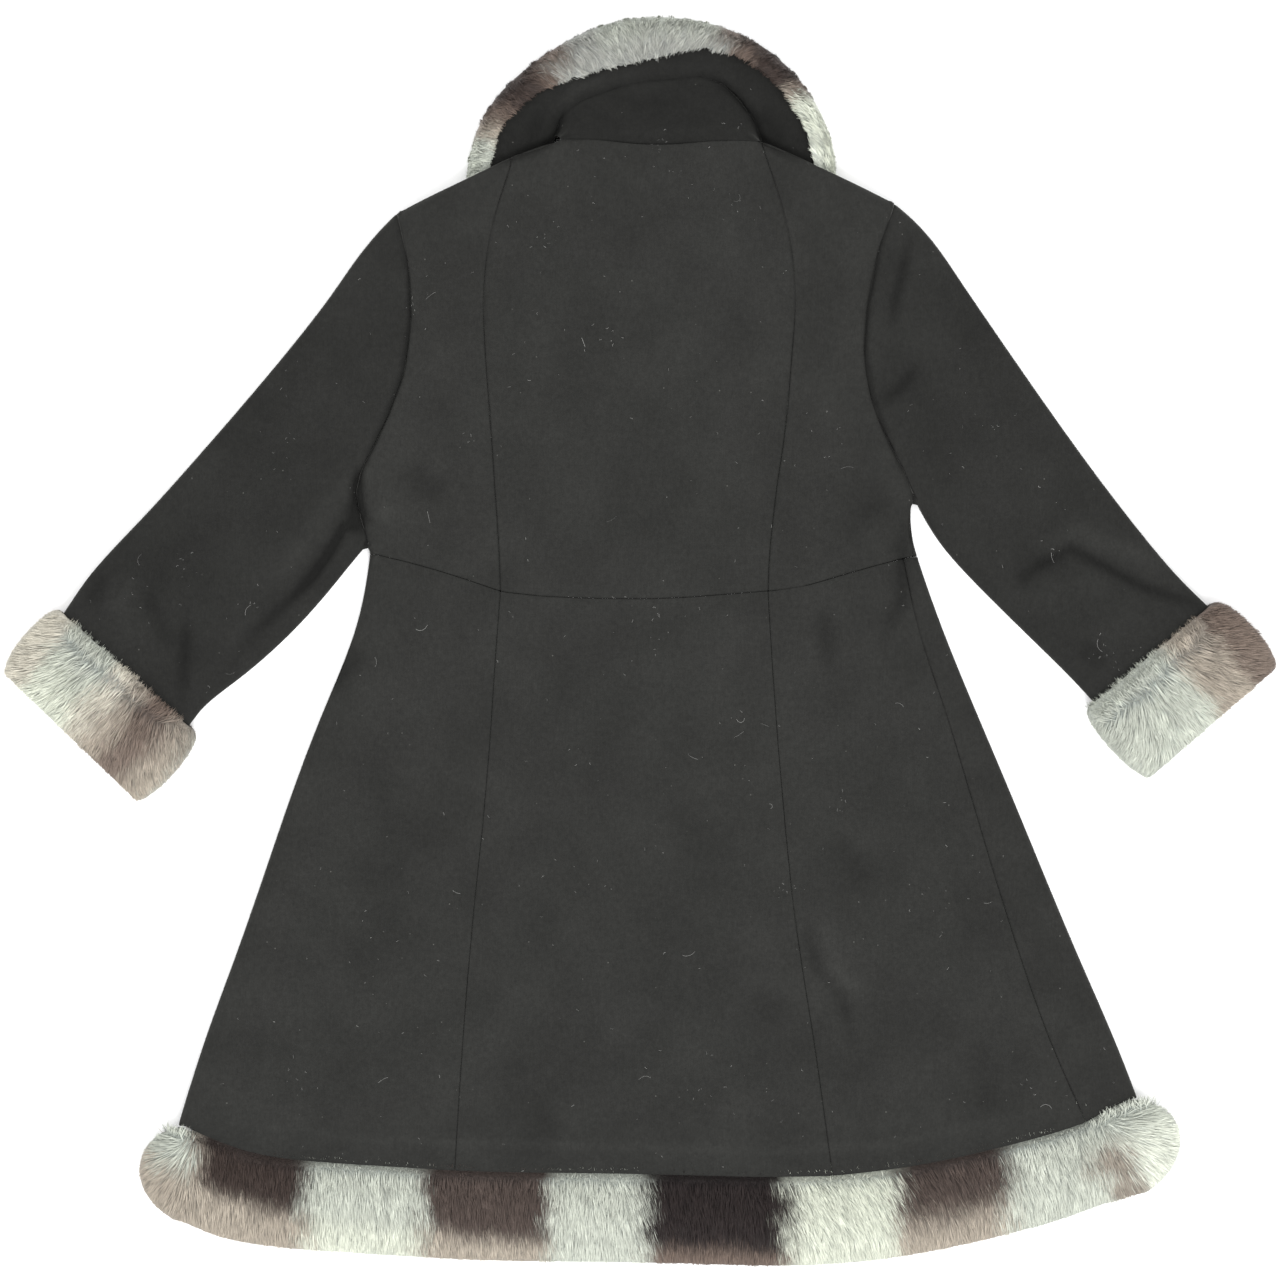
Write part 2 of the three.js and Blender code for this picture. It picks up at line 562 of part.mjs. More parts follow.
// ---- the hem's fur ----
// down is the distance below the wool's edge, half the fur's reach above and below its middle, and past how
// far that middle reaches past the wool's corners. The first two rows are a flange between the layers.
const HEM_FUR_ROWS = [
  { down: -8, half: 1.2, past: -13 },
  { down: 0, half: 1.2, past: -9 },
  { down: 2.5, half: 5.6, past: -2 },
  { down: 8, half: 9.6, past: 5 },
  { down: 18, half: 12.6, past: 10 },
  { down: 30, half: 13, past: 11 },
  { down: 41, half: 11, past: 8.5 },
  { down: 49, half: 7.4, past: 3 },
  { down: 53.5, half: 3.6, past: -2 },
];
const HEM_MIDDLE = HALF_STACK + HEM_LIFT;
const HEM_SLIT = 0.4; // from the middle to the backing of each band
const HEM_CORNERS = { left: -278, right: 302 };
const HEM_END_SHARE = { over: 0.06, depth: 1.1 }; // the band is a little deeper near its ends

function hemPoint(row, { t, turn, side }, depthShare) {
  const x = lerp(HEM_CORNERS.left - row.past, HEM_CORNERS.right + row.past, t);
  const nearEnd = 1 - ease(0, HEM_END_SHARE.over, Math.min(t, 1 - t));
  const y = hemY(x) - row.down * lerp(1, HEM_END_SHARE.depth, nearEnd);
  const half = lerp(HEM_SLIT, row.half, depthShare);
  const outwards = new THREE.Vector3(side * Math.sin(turn), 0, Math.cos(turn));
  return onFloor(new THREE.Vector3(x, y, HEM_MIDDLE).addScaledVector(outwards, half));
}

function hemBand(name, stations) {
  const grid = (share) => HEM_FUR_ROWS.map((row) => stations.map((s) => hemPoint(row, s, share)));
  return wall(name, FUR.hem, grid(1), grid(0));
}

const hemFold = (t, side, from, to) =>
  shares(2).map((k) => ({ t, turn: radians(lerp(from, to, k)), side }));
const hemRun = (from, to, count, turn) =>
  shares(count).map((k) => ({ t: lerp(from, to, k), turn, side: 1 }));
const HEM_CENTRE = (CENTRE_FRONT - HEM_CORNERS.left) / (HEM_CORNERS.right - HEM_CORNERS.left);
const HEM_INSIDE = 0.004; // where a band's flat run starts, and half the split at the centre front
coat.add(
  hemBand("hem_fur_back", [
    ...hemFold(0, -1, 88, 30),
    ...hemRun(HEM_INSIDE, 1 - HEM_INSIDE, 24, 0),
    ...hemFold(1, 1, 30, 88),
  ]),
  hemBand("hem_fur_front_left", [
    ...hemFold(0, -1, 92, 150),
    ...hemRun(HEM_INSIDE, HEM_CENTRE - HEM_INSIDE / 4, 10, HALF),
  ]),
  hemBand("hem_fur_front_right", [
    ...hemRun(HEM_CENTRE + HEM_INSIDE / 4, 1 - HEM_INSIDE, 10, HALF),
    ...hemFold(1, 1, 150, 92),
  ]),
);

// ---- the collar ----
const COLLAR_FUR = 11.9; // depth of the fur under the collar
const FALL_UNDER = COLLAR_FUR + SEAM_GAP; // underside of the under collar
const FALL_TOP = FALL_UNDER + CLOTH;
const COVERED_TOP = COLLAR_LIFT - SEAM_GAP; // highest fur where the coat lies on the collar
const ROLL_HEIGHT = 6.2; // of the roll above the under collar
const RIM_HEIGHT = 5.6; // of the fur's rim above COVERED_TOP

// 0 where the coat lies on the collar, and 1 where the collar lies free.
const free = (x, y) => ease(5, 20, y - shoulderY(x));

function collarPlace(angle, radius) {
  const a = radians(angle);
  return new THREE.Vector2(COLLAR.x + radius * Math.cos(a), COLLAR.y + radius * Math.sin(a));
}

function collarPoint(angle, radius, height, raised = 0) {
  const place = collarPlace(angle, radius);
  return new THREE.Vector3(place.x, place.y, height + raised * free(place.x, place.y));
}

const COLLAR_ANGLES = shares(36).map((t) => lerp(-82, 262, t));

// The under collar, from the roll line (0) to its edge inside the fur (1).
const FALL_ROWS = [
  { share: 0, rise: 0.3 },
  { share: 0.09, rise: 0.56 },
  { share: 0.2, rise: 0.8 },
  { share: 0.36, rise: 0.84 },
  { share: 1, rise: 0 },
];
const FALL_EDGE = 11; // from the under collar's edge to the fur's rim
const FUR_LEAST = 15; // least width of the fur that shows from above
const [lastBend, fallEnd] = FALL_ROWS.slice(-2);
const fallRadius = (angle, share) =>
  lerp(collarAt.roll(angle) + 1, collarAt.outer(angle) - FALL_EDGE, share);

// How much of the roll's height the outer part of the under collar still has at a radius.
function riseAt(angle, radius) {
  const bend = fallRadius(angle, lastBend.share);
  const t = (radius - bend) / (fallRadius(angle, 1) - bend);
  return lerp(lastBend.rise, fallEnd.rise, clamp01(t));
}

function collarFall() {
  const grid = (height) =>
    FALL_ROWS.map((row) =>
      COLLAR_ANGLES.map((angle) =>
        collarPoint(angle, fallRadius(angle, row.share), height, ROLL_HEIGHT * row.rise),
      ),
    );
  return wall("collar_fall", WOOL.front, grid(FALL_TOP), grid(FALL_UNDER));
}

// The fur collar lies under the under collar, turns up round its edge and ends on top of it.
function collarFurSection(angle) {
  const roll = collarAt.roll(angle) + 1.5;
  const outer = collarAt.outer(angle);
  const bend = fallRadius(angle, lastBend.share) + 1;
  const inner = Math.max(Math.min(collarAt.furEdge(angle), outer - FUR_LEAST), bend);
  const wrap = outer - FALL_EDGE + SEAM_GAP;
  const on = FALL_TOP + SEAM_GAP;
  const top = (radius) => ROLL_HEIGHT * riseAt(angle, radius);
  const middle = lerp(wrap, inner, 0.6);
  const start = lerp(wrap, inner, 0.3);
  const skin = [
    [roll, 7, 0],
    [roll + 4, 0, 0],
    [outer - 12, 0, 0],
    [outer - 3, 3.2, 0],
    [outer, 9.5, 0],
    [outer - 2.6, COVERED_TOP - 2.6, RIM_HEIGHT * 0.6],
    [outer - 8, COVERED_TOP - 0.9, RIM_HEIGHT * 1.1],
    [middle, COVERED_TOP - 0.3, Math.max(RIM_HEIGHT * 0.95, top(middle) + 2.4)],
    [inner, COVERED_TOP - 0.3, top(inner) + 0.7],
  ];
  const backing = [
    [roll, COLLAR_FUR, 0],
    [roll + 4, COLLAR_FUR, 0],
    [wrap - 3, COLLAR_FUR, 0],
    [wrap, COLLAR_FUR + 0.4, 0],
    [wrap + 0.5, COLLAR_FUR + 1.6, 0],
    [wrap, on, 0],
    [start, on, top(start) + 0.3],
    [middle, on, top(middle) + 0.3],
    [inner + 0.4, on, top(inner) + 0.3],
  ];
  return { skin, backing };
}
function collarFur() {
  const sections = COLLAR_ANGLES.map((angle) => ({ angle, ...collarFurSection(angle) }));
  const ring = (section, part) => section[part].map((place) => collarPoint(section.angle, ...place));
  const grid = (part) => sections.map((section) => ring(section, part));
  return wall("collar_fur", FUR.collar, grid("skin"), grid("backing"));
}

// The stand, from the back neck seam up to the roll line.
function collarStand() {
  const ends = { x: [-46.6, 72], angle: [157, 17.5] };
  const place = (t, v) => {
    const x = lerp(...ends.x, t);
    const seam = new THREE.Vector2(x, shoulderY(x) + SEAM_GAP);
    const angle = lerp(...ends.angle, t);
    return seam.lerp(collarPlace(angle, collarAt.roll(angle) - 0.4), v);
  };
  const grid = (depth) =>
    [0, 0.15, 0.5, 0.85, 1].map((v) =>
      shares(12).map((t) => {
        const p = place(t, v);
        const seamTop = 2 * HALF_STACK + bodyLift(p.x, shoulderY(p.x)) - SEAM_DIP;
        const top = lerp(seamTop, FALL_TOP + ROLL_HEIGHT * FALL_ROWS[0].rise, ease(0, 1, v));
        return new THREE.Vector3(p.x, p.y, top - depth);
      }),
    );
  return wall("collar_stand", WOOL.back, grid(0), grid(CLOTH));
}

coat.add(collarStand(), collarFall(), collarFur());

export default coat;
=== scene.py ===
"""A child's princess coat in charcoal wool, with fur at collar, cuffs and hem, laid flat, back upwards."""
import math
from functools import lru_cache

import bmesh
import bpy
import numpy as np
from bpy.props import FloatProperty, FloatVectorProperty, IntProperty, PointerProperty
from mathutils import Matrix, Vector, noise
from mathutils.bvhtree import BVHTree
from mathutils.kdtree import KDTree


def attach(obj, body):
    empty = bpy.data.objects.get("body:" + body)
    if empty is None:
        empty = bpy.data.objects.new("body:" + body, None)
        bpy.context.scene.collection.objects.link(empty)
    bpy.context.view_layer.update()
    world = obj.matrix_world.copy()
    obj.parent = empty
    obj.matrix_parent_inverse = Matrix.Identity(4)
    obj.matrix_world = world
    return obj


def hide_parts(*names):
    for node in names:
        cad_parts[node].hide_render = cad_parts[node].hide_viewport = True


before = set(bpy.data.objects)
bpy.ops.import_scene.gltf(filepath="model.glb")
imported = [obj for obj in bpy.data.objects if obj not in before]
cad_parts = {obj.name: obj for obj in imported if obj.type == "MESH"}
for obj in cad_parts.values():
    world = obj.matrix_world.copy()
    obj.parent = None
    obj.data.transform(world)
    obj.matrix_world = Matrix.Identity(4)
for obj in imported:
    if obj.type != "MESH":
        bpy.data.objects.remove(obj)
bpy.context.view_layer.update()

bl_info = {
    "name": "Princess coat",
    "version": (1, 0, 0),
    "blender": (4, 5, 0),
    "location": "3D View > Sidebar > Coat",
    "description": "Dresses the solids of a child's wool coat with cloth shells, fur and lint",
    "category": "Add Mesh",
}

MM = 0.001
UP = np.array([0.0, 0.0, 1.0])
SEED = 7
VIEW_PIXELS = 1280
PIXEL = 0.6  # millimetres of the surface that a pixel takes in

BACK_NODES = (
    "back_bodice_centre",
    "back_bodice_left",
    "back_bodice_right",
    "back_skirt_centre",
    "back_skirt_left",
    "back_skirt_right",
)
FRONT_NODES = ("front_bodice_left", "front_bodice_right", "front_skirt_left", "front_skirt_right")
SLEEVE_NODES = ("sleeve_left", "sleeve_right")
COLLAR_NODES = ("collar_stand", "collar_fall")
CLOTH_NODES = BACK_NODES + FRONT_NODES + SLEEVE_NODES + COLLAR_NODES
HEM_NODES = ("hem_fur_back", "hem_fur_front_left", "hem_fur_front_right")

# Soft creases and ridges of the upper side, in millimetres: how wide each is on either side, how high it
# moves the cloth (down where negative), and the points (x, y) that it follows. The same heights also paint
# shade into the wool's troughs and light onto its ridges.
CREASES = [
    # the armhole seams, which the sleeves' fullness presses into the cloth
    (1.9, -1.2, (-146, 253), (-139, 221), (-138, 193), (-143, 159), (-158, 122), (-167, 102),
     (-169, 82), (-164, 56)),
    (1.9, -1.2, (152, 260), (143, 233), (137, 203), (135, 176), (139, 149), (149, 121), (159, 98),
     (164, 84)),
    # the left sleeve, from under the arm towards the cuff
    (2.6, -1.9, (-164, 70), (-178, 68), (-186, 53), (-197, 37), (-209, 25)),
    (4, -1.3, (-166, 92), (-179, 67), (-189, 51), (-209, 26), (-234, 2), (-244, -12)),
    (2.4, -1.9, (-169, 104), (-171, 92), (-168, 80), (-162, 70)),
    (4.5, -1.4, (-272, 14), (-273, -8), (-275, -36)),
    (6, -1.1, (-320, 42), (-330, 20)),
    (5.5, -0.9, (-298, 32), (-286, 6), (-282, -8)),
    (8, 1.6, (-160, 104), (-186, 80), (-206, 52), (-226, 34)),
    (7, 1.76, (-150, 84), (-158, 70)),
    # a trough whose painted shade draws the shadow under the arm
    (4.5, -1.9, (-170, 102), (-171, 82), (-169, 60)),
    (12, -1.12, (-196, 172), (-214, 150), (-236, 128)),
    (11, -1.12, (-262, 76), (-286, 44), (-296, 20)),
    (8, 1.12, (-300, 40), (-318, 14)),
    # the right sleeve
    (3.4, -1.5, (161, 239), (155, 212), (150, 189)),
    (4.5, -1.4, (168, 167), (157, 152), (143, 142)),
    (3.4, -1.8, (229, 37), (247, 49), (259, 55), (279, 44), (301, 32), (340, 19)),
    (6, -0.9, (226, 34), (238, 45), (250, 47)),
    (6, 1.1, (236, 52), (262, 66), (290, 54), (316, 42)),
    (9, 1.1, (232, 22), (262, 36), (286, 28)),
    (12, -0.96, (178, 226), (196, 190), (206, 164)),
    (10, 0.96, (204, 132), (232, 108), (256, 98)),
    (7, -1.28, (262, -4), (282, -14)),
    # the bodice
    (9, -1.44, (-143, 106), (-130, 94), (-116, 84)),
    (9, -1.28, (148, 92), (134, 74), (118, 60)),
    (22, -0.96, (-52, 262), (-40, 214), (-44, 176)),
    (22, 0.96, (44, 258), (30, 206), (34, 160)),
    (20, -0.8, (-22, 120), (8, 92), (22, 60)),
    (12, -0.96, (-112, 232), (-106, 190)),
    (12, -0.96, (112, 228), (106, 182)),
    # the skirt
    (4, -0.9, (99, -168), (106, -196), (122, -216), (128, -246)),
    (6, 0.8, (110, -164), (118, -196), (134, -216)),
    (8, -0.96, (64, -214), (78, -222), (92, -222)),
    (8, -1.28, (117, -114), (127, -134), (138, -152)),
    (6, -1.12, (111, 22), (112, 2), (114, -22)),
    (6, -1.28, (-166, -6), (-177, -18), (-188, -30)),
    (5, -1.28, (158, 75), (157, 45), (158, 25), (150, 12), (146, 0)),
    (20, -1.12, (-140, -70), (-150, -130), (-166, -210)),
    (16, 0.96, (-196, -110), (-214, -170), (-232, -240)),
    (24, -1.12, (20, -40), (28, -130), (24, -240)),
    (14, -1.12, (176, -60), (190, -130), (208, -200)),
    (12, -0.96, (-62, -250), (-58, -290), (-58, -312)),
    (11, 0.8, (58, -262), (60, -312)),
    (10, -0.96, (204, -238), (212, -290)),
    (11, 0.8, (-210, -250), (-206, -300)),
    # the turned-up hem shows through as a low ridge
    (3, 0.56, (-262, -286), (-166, -299), (0, -304), (90, -306), (150, -302), (264, -276)),
    # the collar: a dimple on the left wing, the stand's folds
    (10, -1.9, (-66, 310), (-58, 307)),
    (4, 1.12, (-48, 318), (-38, 330), (-18, 336)),
    (6, -0.8, (-22, 330), (-4, 322), (22, 322)),
    (7, -1.28, (70, 318), (80, 308), (84, 296)),
    # narrow troughs along the wings' edges; their painted shade draws the shadow lines where the wings meet
    # the stand and the shoulders
    (2.5, -1.9, (-45, 319), (-48, 310), (-50, 301), (-58, 294.6), (-82, 285)),
    (2.5, -1.9, (40, 340), (57, 326.6), (67.4, 314.6), (71.4, 304), (74, 297.3), (89, 289.3), (100, 286.6)),
    (3, 0.64, (-30, 306), (10, 303), (50, 306)),
]

# The same on the hidden side, where the fronts lie over the fur and clear of the surface.
UNDER_CREASES = [
    (10, 0.8, (-120, 232), (-104, 190), (-96, 150)),
    (10, 0.8, (118, 226), (104, 184), (98, 140)),
    (8, 0.7, (-150, 96), (-128, 76), (-112, 62)),
    (8, 0.7, (148, 96), (128, 70), (108, 58)),
    (12, 0.9, (-190, -200), (-200, -250), (-206, -300)),
    (10, 0.8, (-96, -190), (-92, -250), (-96, -312)),
    (11, 0.8, (60, -210), (66, -260), (62, -316)),
    (12, 0.9, (168, -180), (186, -240), (196, -300)),
]
DEEPEST_CREASE = 1.9  # millimetres, so that the layers stay apart
SHARP_CREASE = 5.5  # millimetres of width up to which a crease's painted shade (trough) and painted highlight (ridge) count in full
CREASE_TONES = (0.45, 1.5)  # painted shade in the deepest trough and painted highlight on the highest ridge, as factors of the nap's colour

# Linear colours of the tips of the fur's strands, and how much darker their roots are.
FUR_SHADES = {
    "white": (0.56, 0.58, 0.505),
    "cream": (0.495, 0.515, 0.435),
    "silver": (0.41, 0.43, 0.375),
    "pale": (0.345, 0.362, 0.316),
    "ash": (0.262, 0.266, 0.244),
    "sand": (0.43, 0.405, 0.34),
    "tan": (0.307, 0.27, 0.221),
    "beige": (0.226, 0.197, 0.163),
    "taupe": (0.16, 0.125, 0.103),
    "mauve": (0.122, 0.091, 0.074),
    "umber": (0.061, 0.0455, 0.039),
    "brown": (0.0385, 0.0273, 0.0232),
    "dark": (0.0158, 0.0112, 0.0107),
}
ROOT_SHADE = (0.50, 0.53, 0.57)

# The stripes across the hem, from left to right in millimetres: where each starts, its shade near the
# wool and its shade near the end of the fur.
HEM_STRIPES = [
    (-312, "tan", "tan"), (-296, "pale", "tan"), (-284, "silver", "tan"), (-268, "beige", "tan"),
    (-260, "brown", "tan"), (-200, "silver", "cream"), (-131, "umber", "tan"), (-54, "silver", "silver"),
    (3, "dark", "mauve"),
    (88, "cream", "cream"), (153, "umber", "tan"), (222, "silver", "silver"), (266, "silver", "beige"),
    (285, "silver", "white"), (330, None, None),
]
# The stripes along each cuff, from its outer end (0) to the underarm (1), and on under it (to 2).
LEFT_CUFF_STRIPES = [
    (0, "sand", "sand"), (0.1, "pale", "cream"), (0.45, "sand", "sand"), (0.58, "beige", "tan"),
    (0.7, "mauve", "taupe"), (0.92, "beige", "tan"), (1.1, "pale", "pale"), (1.5, "mauve", "beige"),
    (1.8, "tan", "tan"), (2, None, None),
]
RIGHT_CUFF_STRIPES = [
    (0, "mauve", "taupe"), (0.12, "beige", "tan"), (0.26, "tan", "tan"), (0.42, "pale", "silver"),
    (0.8, "pale", "silver"), (1.15, "pale", "pale"), (1.5, "mauve", "beige"), (2, None, None),
]
# The stripes round the collar, by direction in degrees, with their shades at its rim and further in.
COLLAR_STRIPES = [
    (-84, "cream", "cream"), (-62, "brown", "brown"), (-38, "cream", "white"), (14, "white", "cream"),
    (27, "mauve", "beige"), (33, "brown", "brown"), (50, "brown", "mauve"), (57, "mauve", "ash"),
    (66, "pale", "ash"), (112, "ash", "ash"), (124, "mauve", "ash"),
    (135, "brown", "mauve"), (140, "brown", "brown"), (155, "mauve", "mauve"), (161, "beige", "tan"),
    (168, "silver", "silver"), (214, "brown", "brown"), (240, "silver", "silver"), (264, None, None),
]
# How far out the collar's rim and the inner edge of its fur are, by direction.
COLLAR_BAND = [
    # degrees, rim, inner edge
    (-84, 103, 90), (0, 112.6, 98), (30, 108.8, 93.4), (52, 104.4, 89), (66, 101.2, 84), (80, 98.8, 74.5),
    (104, 97.6, 67), (124, 98.4, 73), (142, 102.6, 83), (158, 109, 93), (180, 112.8, 97.6), (264, 103, 90),
]

LINT_CLUSTERS = [
    # x, y in millimetres, how far it spreads, how many fibres
    (121, -98, 10, 9), (93, -148, 10, 8), (279, -9, 12, 9), (-275, 45, 12, 8), (-302, 29, 10, 6),
    (12, 6, 26, 12), (11, 297, 9, 8), (30, 276, 12, 6), (-136, 208, 14, 8), (-97, 122, 16, 8),
    (60, 262, 18, 7), (-60, 240, 20, 8), (206, 120, 20, 9), (-210, 120, 22, 8), (-160, -180, 30, 10),
    (-40, -150, 34, 10), (180, -160, 28, 9), (40, -270, 30, 9), (-200, -270, 26, 8), (240, -270, 20, 7),
    (100, 120, 22, 8), (-20, 180, 30, 9), (250, 60, 16, 7), (-238, 24, 16, 7), (60, -60, 26, 8),
]


# ---- settings ----
def length_setting(name, description, default, **limits):
    """A length in metres."""
    return FloatProperty(
        name=name, description=description, subtype="DISTANCE", unit="LENGTH", default=default, **limits
    )


def share_setting(name, description, default):
    """A share from 0 to 1."""
    return FloatProperty(
        name=name, description=description, subtype="FACTOR", default=default, min=0, max=1
    )


def strands_setting(name, description, default):
    """A number of strands."""
    return IntProperty(name=name, description=description, default=default, min=100)


class WoolSettings(bpy.types.PropertyGroup):
    """The charcoal wool."""

    colour: FloatVectorProperty(
        name="Colour", description="Base colour of the wool", subtype="COLOR", size=3,
        default=(0.0157, 0.0158, 0.0147), min=0, max=1,
    )
    roughness: share_setting("Roughness", "Roughness of the nap", 0.92)
    sheen: share_setting("Sheen", "Strength of the soft nap's sheen", 0.12)
    nap_depth: length_setting("Nap depth", "Depth of the felted nap's relief", 0.00016, min=0, max=0.002)
    sway: length_setting(
        "Sway", "How far the cloth waves softly between its creases", 0.00045, min=0, max=0.003
    )


class FurSettings(bpy.types.PropertyGroup):
    """The long-haired fur."""

    pile: length_setting(
        "Pile", "Depth of the strands between the skin side and the tips", 0.004, min=0.001, max=0.02
    )
    strand_length: length_setting("Strand length", "Length of a strand", 0.014, min=0.004, max=0.04)
    strand_width: length_setting(
        "Strand width", "Width of a strand at its middle", 0.00052, min=0.0001, max=0.002
    )
    clump: length_setting(
        "Clump", "Distance between the locks that strands gather in", 0.0048, min=0.001, max=0.02
    )
    hem_strands: strands_setting("Hem strands", "Strands on the back of the hem", 36000)
    front_hem_strands: strands_setting("Front hem strands", "Strands on each front of the hem", 4500)
    cuff_strands: strands_setting("Cuff strands", "Strands on each cuff", 20000)
    collar_strands: strands_setting("Collar strands", "Strands on the collar", 31000)


class StageSettings(bpy.types.PropertyGroup):
    """The surface, the light and the camera."""

    camera_height: length_setting("Camera height", "Height of the camera above the coat", 3, min=0.5)
    view_side: length_setting(
        "View side", "Length of surface that the picture's side takes in", VIEW_PIXELS * PIXEL * MM, min=0.1
    )
    key_light: FloatProperty(
        name="Key light", description="Power of the large soft light", subtype="POWER", default=47, min=0,
    )
    sky: FloatProperty(
        name="Sky", description="Strength of the light from all round", default=1.75, min=0,
    )
    floor_shade: share_setting("Floor shade", "How pale the surface is", 0.9)


# ---- small helpers ----
def smooth(low, high, value):
    """0 below low, 1 above high and a soft step between them."""
    t = np.clip((value - low) / (high - low), 0, 1)
    return t * t * (3 - 2 * t)


def unit(vectors):
    """Rows of unit length."""
    return vectors / np.maximum(np.linalg.norm(vectors, axis=-1, keepdims=True), 1e-12)


def turned(vectors, degrees):
    """One direction, or a row of them, turned anticlockwise by an angle for each row."""
    x, y = np.asarray(vectors).T
    cos, sin = np.cos(np.radians(degrees)), np.sin(np.radians(degrees))
    return np.stack([x * cos - y * sin, x * sin + y * cos], 1)


def levelled(directions):
    """Directions (x, y) as vectors that lie level."""
    return np.concatenate([directions, np.zeros((len(directions), 1))], 1)


def rows_of(items, field, kind=np.float32):
    """A value of three numbers of each of a mesh's items, as rows."""
    values = np.zeros(len(items) * 3, kind)
    items.foreach_get(field, values)
    return values.reshape(-1, 3)


def mesh_points(mesh):
    return rows_of(mesh.vertices, "co").astype(float)


def mesh_normals(mesh):
    return rows_of(mesh.vertex_normals, "vector").astype(float)


def mesh_triangles(mesh):
    mesh.calc_loop_triangles()
    return rows_of(mesh.loop_triangles, "vertices", np.int32)


def put_points(mesh, points):
    mesh.vertices.foreach_set("co", points.astype(np.float32).ravel())
    mesh.update()


def waves(points, size, channel=0):
    """Smooth noise from -1 to 1 at each point, with waves of about this size in metres."""
    shift = Vector((17.3 * channel, 5.1 * channel, 2.7 * channel))
    return np.array([noise.noise(Vector(p) / size + shift) for p in points])


def add_piece(name, mesh, material):
    """Links a finished mesh as a piece that rides with the coat."""
    piece = bpy.data.objects.new(name, mesh)
    bpy.context.scene.collection.objects.link(piece)
    mesh.materials.clear()
    mesh.materials.append(material)
    mesh.shade_smooth()
    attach(piece, "root")
    return piece


def declare_cut(node):
    """Hides the frame's node that a piece stands for."""
    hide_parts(node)


# ---- meshes from the frame's nodes ----
WELD = 0.00002
RIM_ANGLE = math.radians(52)
QUAD_BEND, QUAD_SKEW = math.radians(60), math.radians(80)


def drop_attributes(mesh, *names):
    for name in names:
        if name in mesh.attributes:
            mesh.attributes.remove(mesh.attributes[name])


def smooth_copy(node, levels, crease):
    """A finer mesh of a node: its triangles welded, paired into quads and subdivided with soft rims."""
    shape = bmesh.new()
    shape.from_mesh(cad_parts[node].data)
    bmesh.ops.remove_doubles(shape, verts=shape.verts, dist=WELD)
    bmesh.ops.join_triangles(
        shape, faces=shape.faces, angle_face_threshold=QUAD_BEND, angle_shape_threshold=QUAD_SKEW
    )
    sharp = shape.edges.layers.float.new("crease_edge")
    for edge in shape.edges:
        if len(edge.link_faces) == 2 and edge.calc_face_angle() > RIM_ANGLE:
            edge[sharp] = crease
    mesh = bpy.data.meshes.new(node + "_smooth")
    shape.to_mesh(mesh)
    shape.free()
    carrier = bpy.data.objects.new(node + "_smooth", mesh)
    bpy.context.scene.collection.objects.link(carrier)
    drop_attributes(mesh, "custom_normal")
    subdivision = carrier.modifiers.new("finer", "SUBSURF")
    subdivision.levels = levels
    subdivision.render_levels = levels
    shown = carrier.evaluated_get(bpy.context.evaluated_depsgraph_get())
    finer = bpy.data.meshes.new_from_object(shown)
    bpy.data.objects.remove(carrier)
    bpy.data.meshes.remove(mesh)
    drop_attributes(finer, "crease_edge", "custom_normal", "UVMap")
    return finer


def shape_tree(*shapes):
    """One tree of the triangles of the shapes, each a pair of points and triangles."""
    points, triangles = [], []
    for shape_points, shape_triangles in shapes:
        triangles += (shape_triangles + len(points)).tolist()
        points += [Vector(p) for p in shape_points]
    return BVHTree.FromPolygons(points, triangles)


def point_tree(points):
    tree = KDTree(len(points))
    for i, point in enumerate(points):
        tree.insert(point, i)
    tree.balance()
    return tree


def others_tree(node, nodes):
    """A tree of the frame's other nodes, to test what lies over or beside a piece."""
    return shape_tree(*(FRAME_SHAPES[other] for other in nodes if other != node))


# ---- materials ----
def shader(name):
    """A new material's node tree, with its Principled shader."""
    material = bpy.data.materials.new(name)
    material.use_nodes = True
    return material, material.node_tree, material.node_tree.nodes["Principled BSDF"]


def plug(tree, node, inputs):
    """Gives a node its inputs, each a value or another node's output."""
    for name, value in inputs.items():
        if isinstance(value, bpy.types.NodeSocket):
            tree.links.new(value, node.inputs[name])
        else:
            node.inputs[name].default_value = value


def add_node(tree, kind, settings=None, inputs=None):
    node = tree.nodes.new(kind)
    for name, value in (settings or {}).items():
        setattr(node, name, value)
    plug(tree, node, inputs or {})
    return node


def object_place(tree):
    return add_node(tree, "ShaderNodeTexCoord").outputs["Object"]


def noise_node(tree, place, scale, detail=3, roughness=0.55):
    return add_node(
        tree, "ShaderNodeTexNoise",
        inputs={"Vector": place, "Scale": scale, "Detail": detail, "Roughness": roughness},
    ).outputs["Fac"]


def stretch(tree, value, low, high, to_low, to_high):
    """Maps a range of a value to another one, held at its ends."""
    return add_node(
        tree, "ShaderNodeMapRange",
        inputs={"Value": value, "From Min": low, "From Max": high, "To Min": to_low, "To Max": to_high},
    ).outputs["Result"]


def calculate(tree, operation, first, second):
    return add_node(
        tree, "ShaderNodeMath", {"operation": operation}, {0: first, 1: second}
    ).outputs["Value"]


def product(tree, first, *others):
    for other in others:
        first = calculate(tree, "MULTIPLY", first, other)
    return first


def mix_colours(tree, blend, share, first, second):
    node = add_node(tree, "ShaderNodeMix", {"data_type": "RGBA", "blend_type": blend})
    plug(tree, node, {0: share, 6: first, 7: second})
    return node.outputs[2]


def grey_of(tree, value):
    """A grey colour from a value."""
    return add_node(
        tree, "ShaderNodeCombineColor", inputs={"Red": value, "Green": value, "Blue": value}
    ).outputs["Color"]


def mottled_material(name, colour, scale, tones, inputs):
    """A material whose colour varies softly, by noise of this scale stretched to these tones."""
    material, tree, principled = shader(name)
    tone = stretch(tree, noise_node(tree, object_place(tree), scale, 2), *tones)
    coloured = mix_colours(tree, "MULTIPLY", 1.0, (*colour, 1), grey_of(tree, tone))
    plug(tree, principled, {"Base Color": coloured, **inputs})
    return material


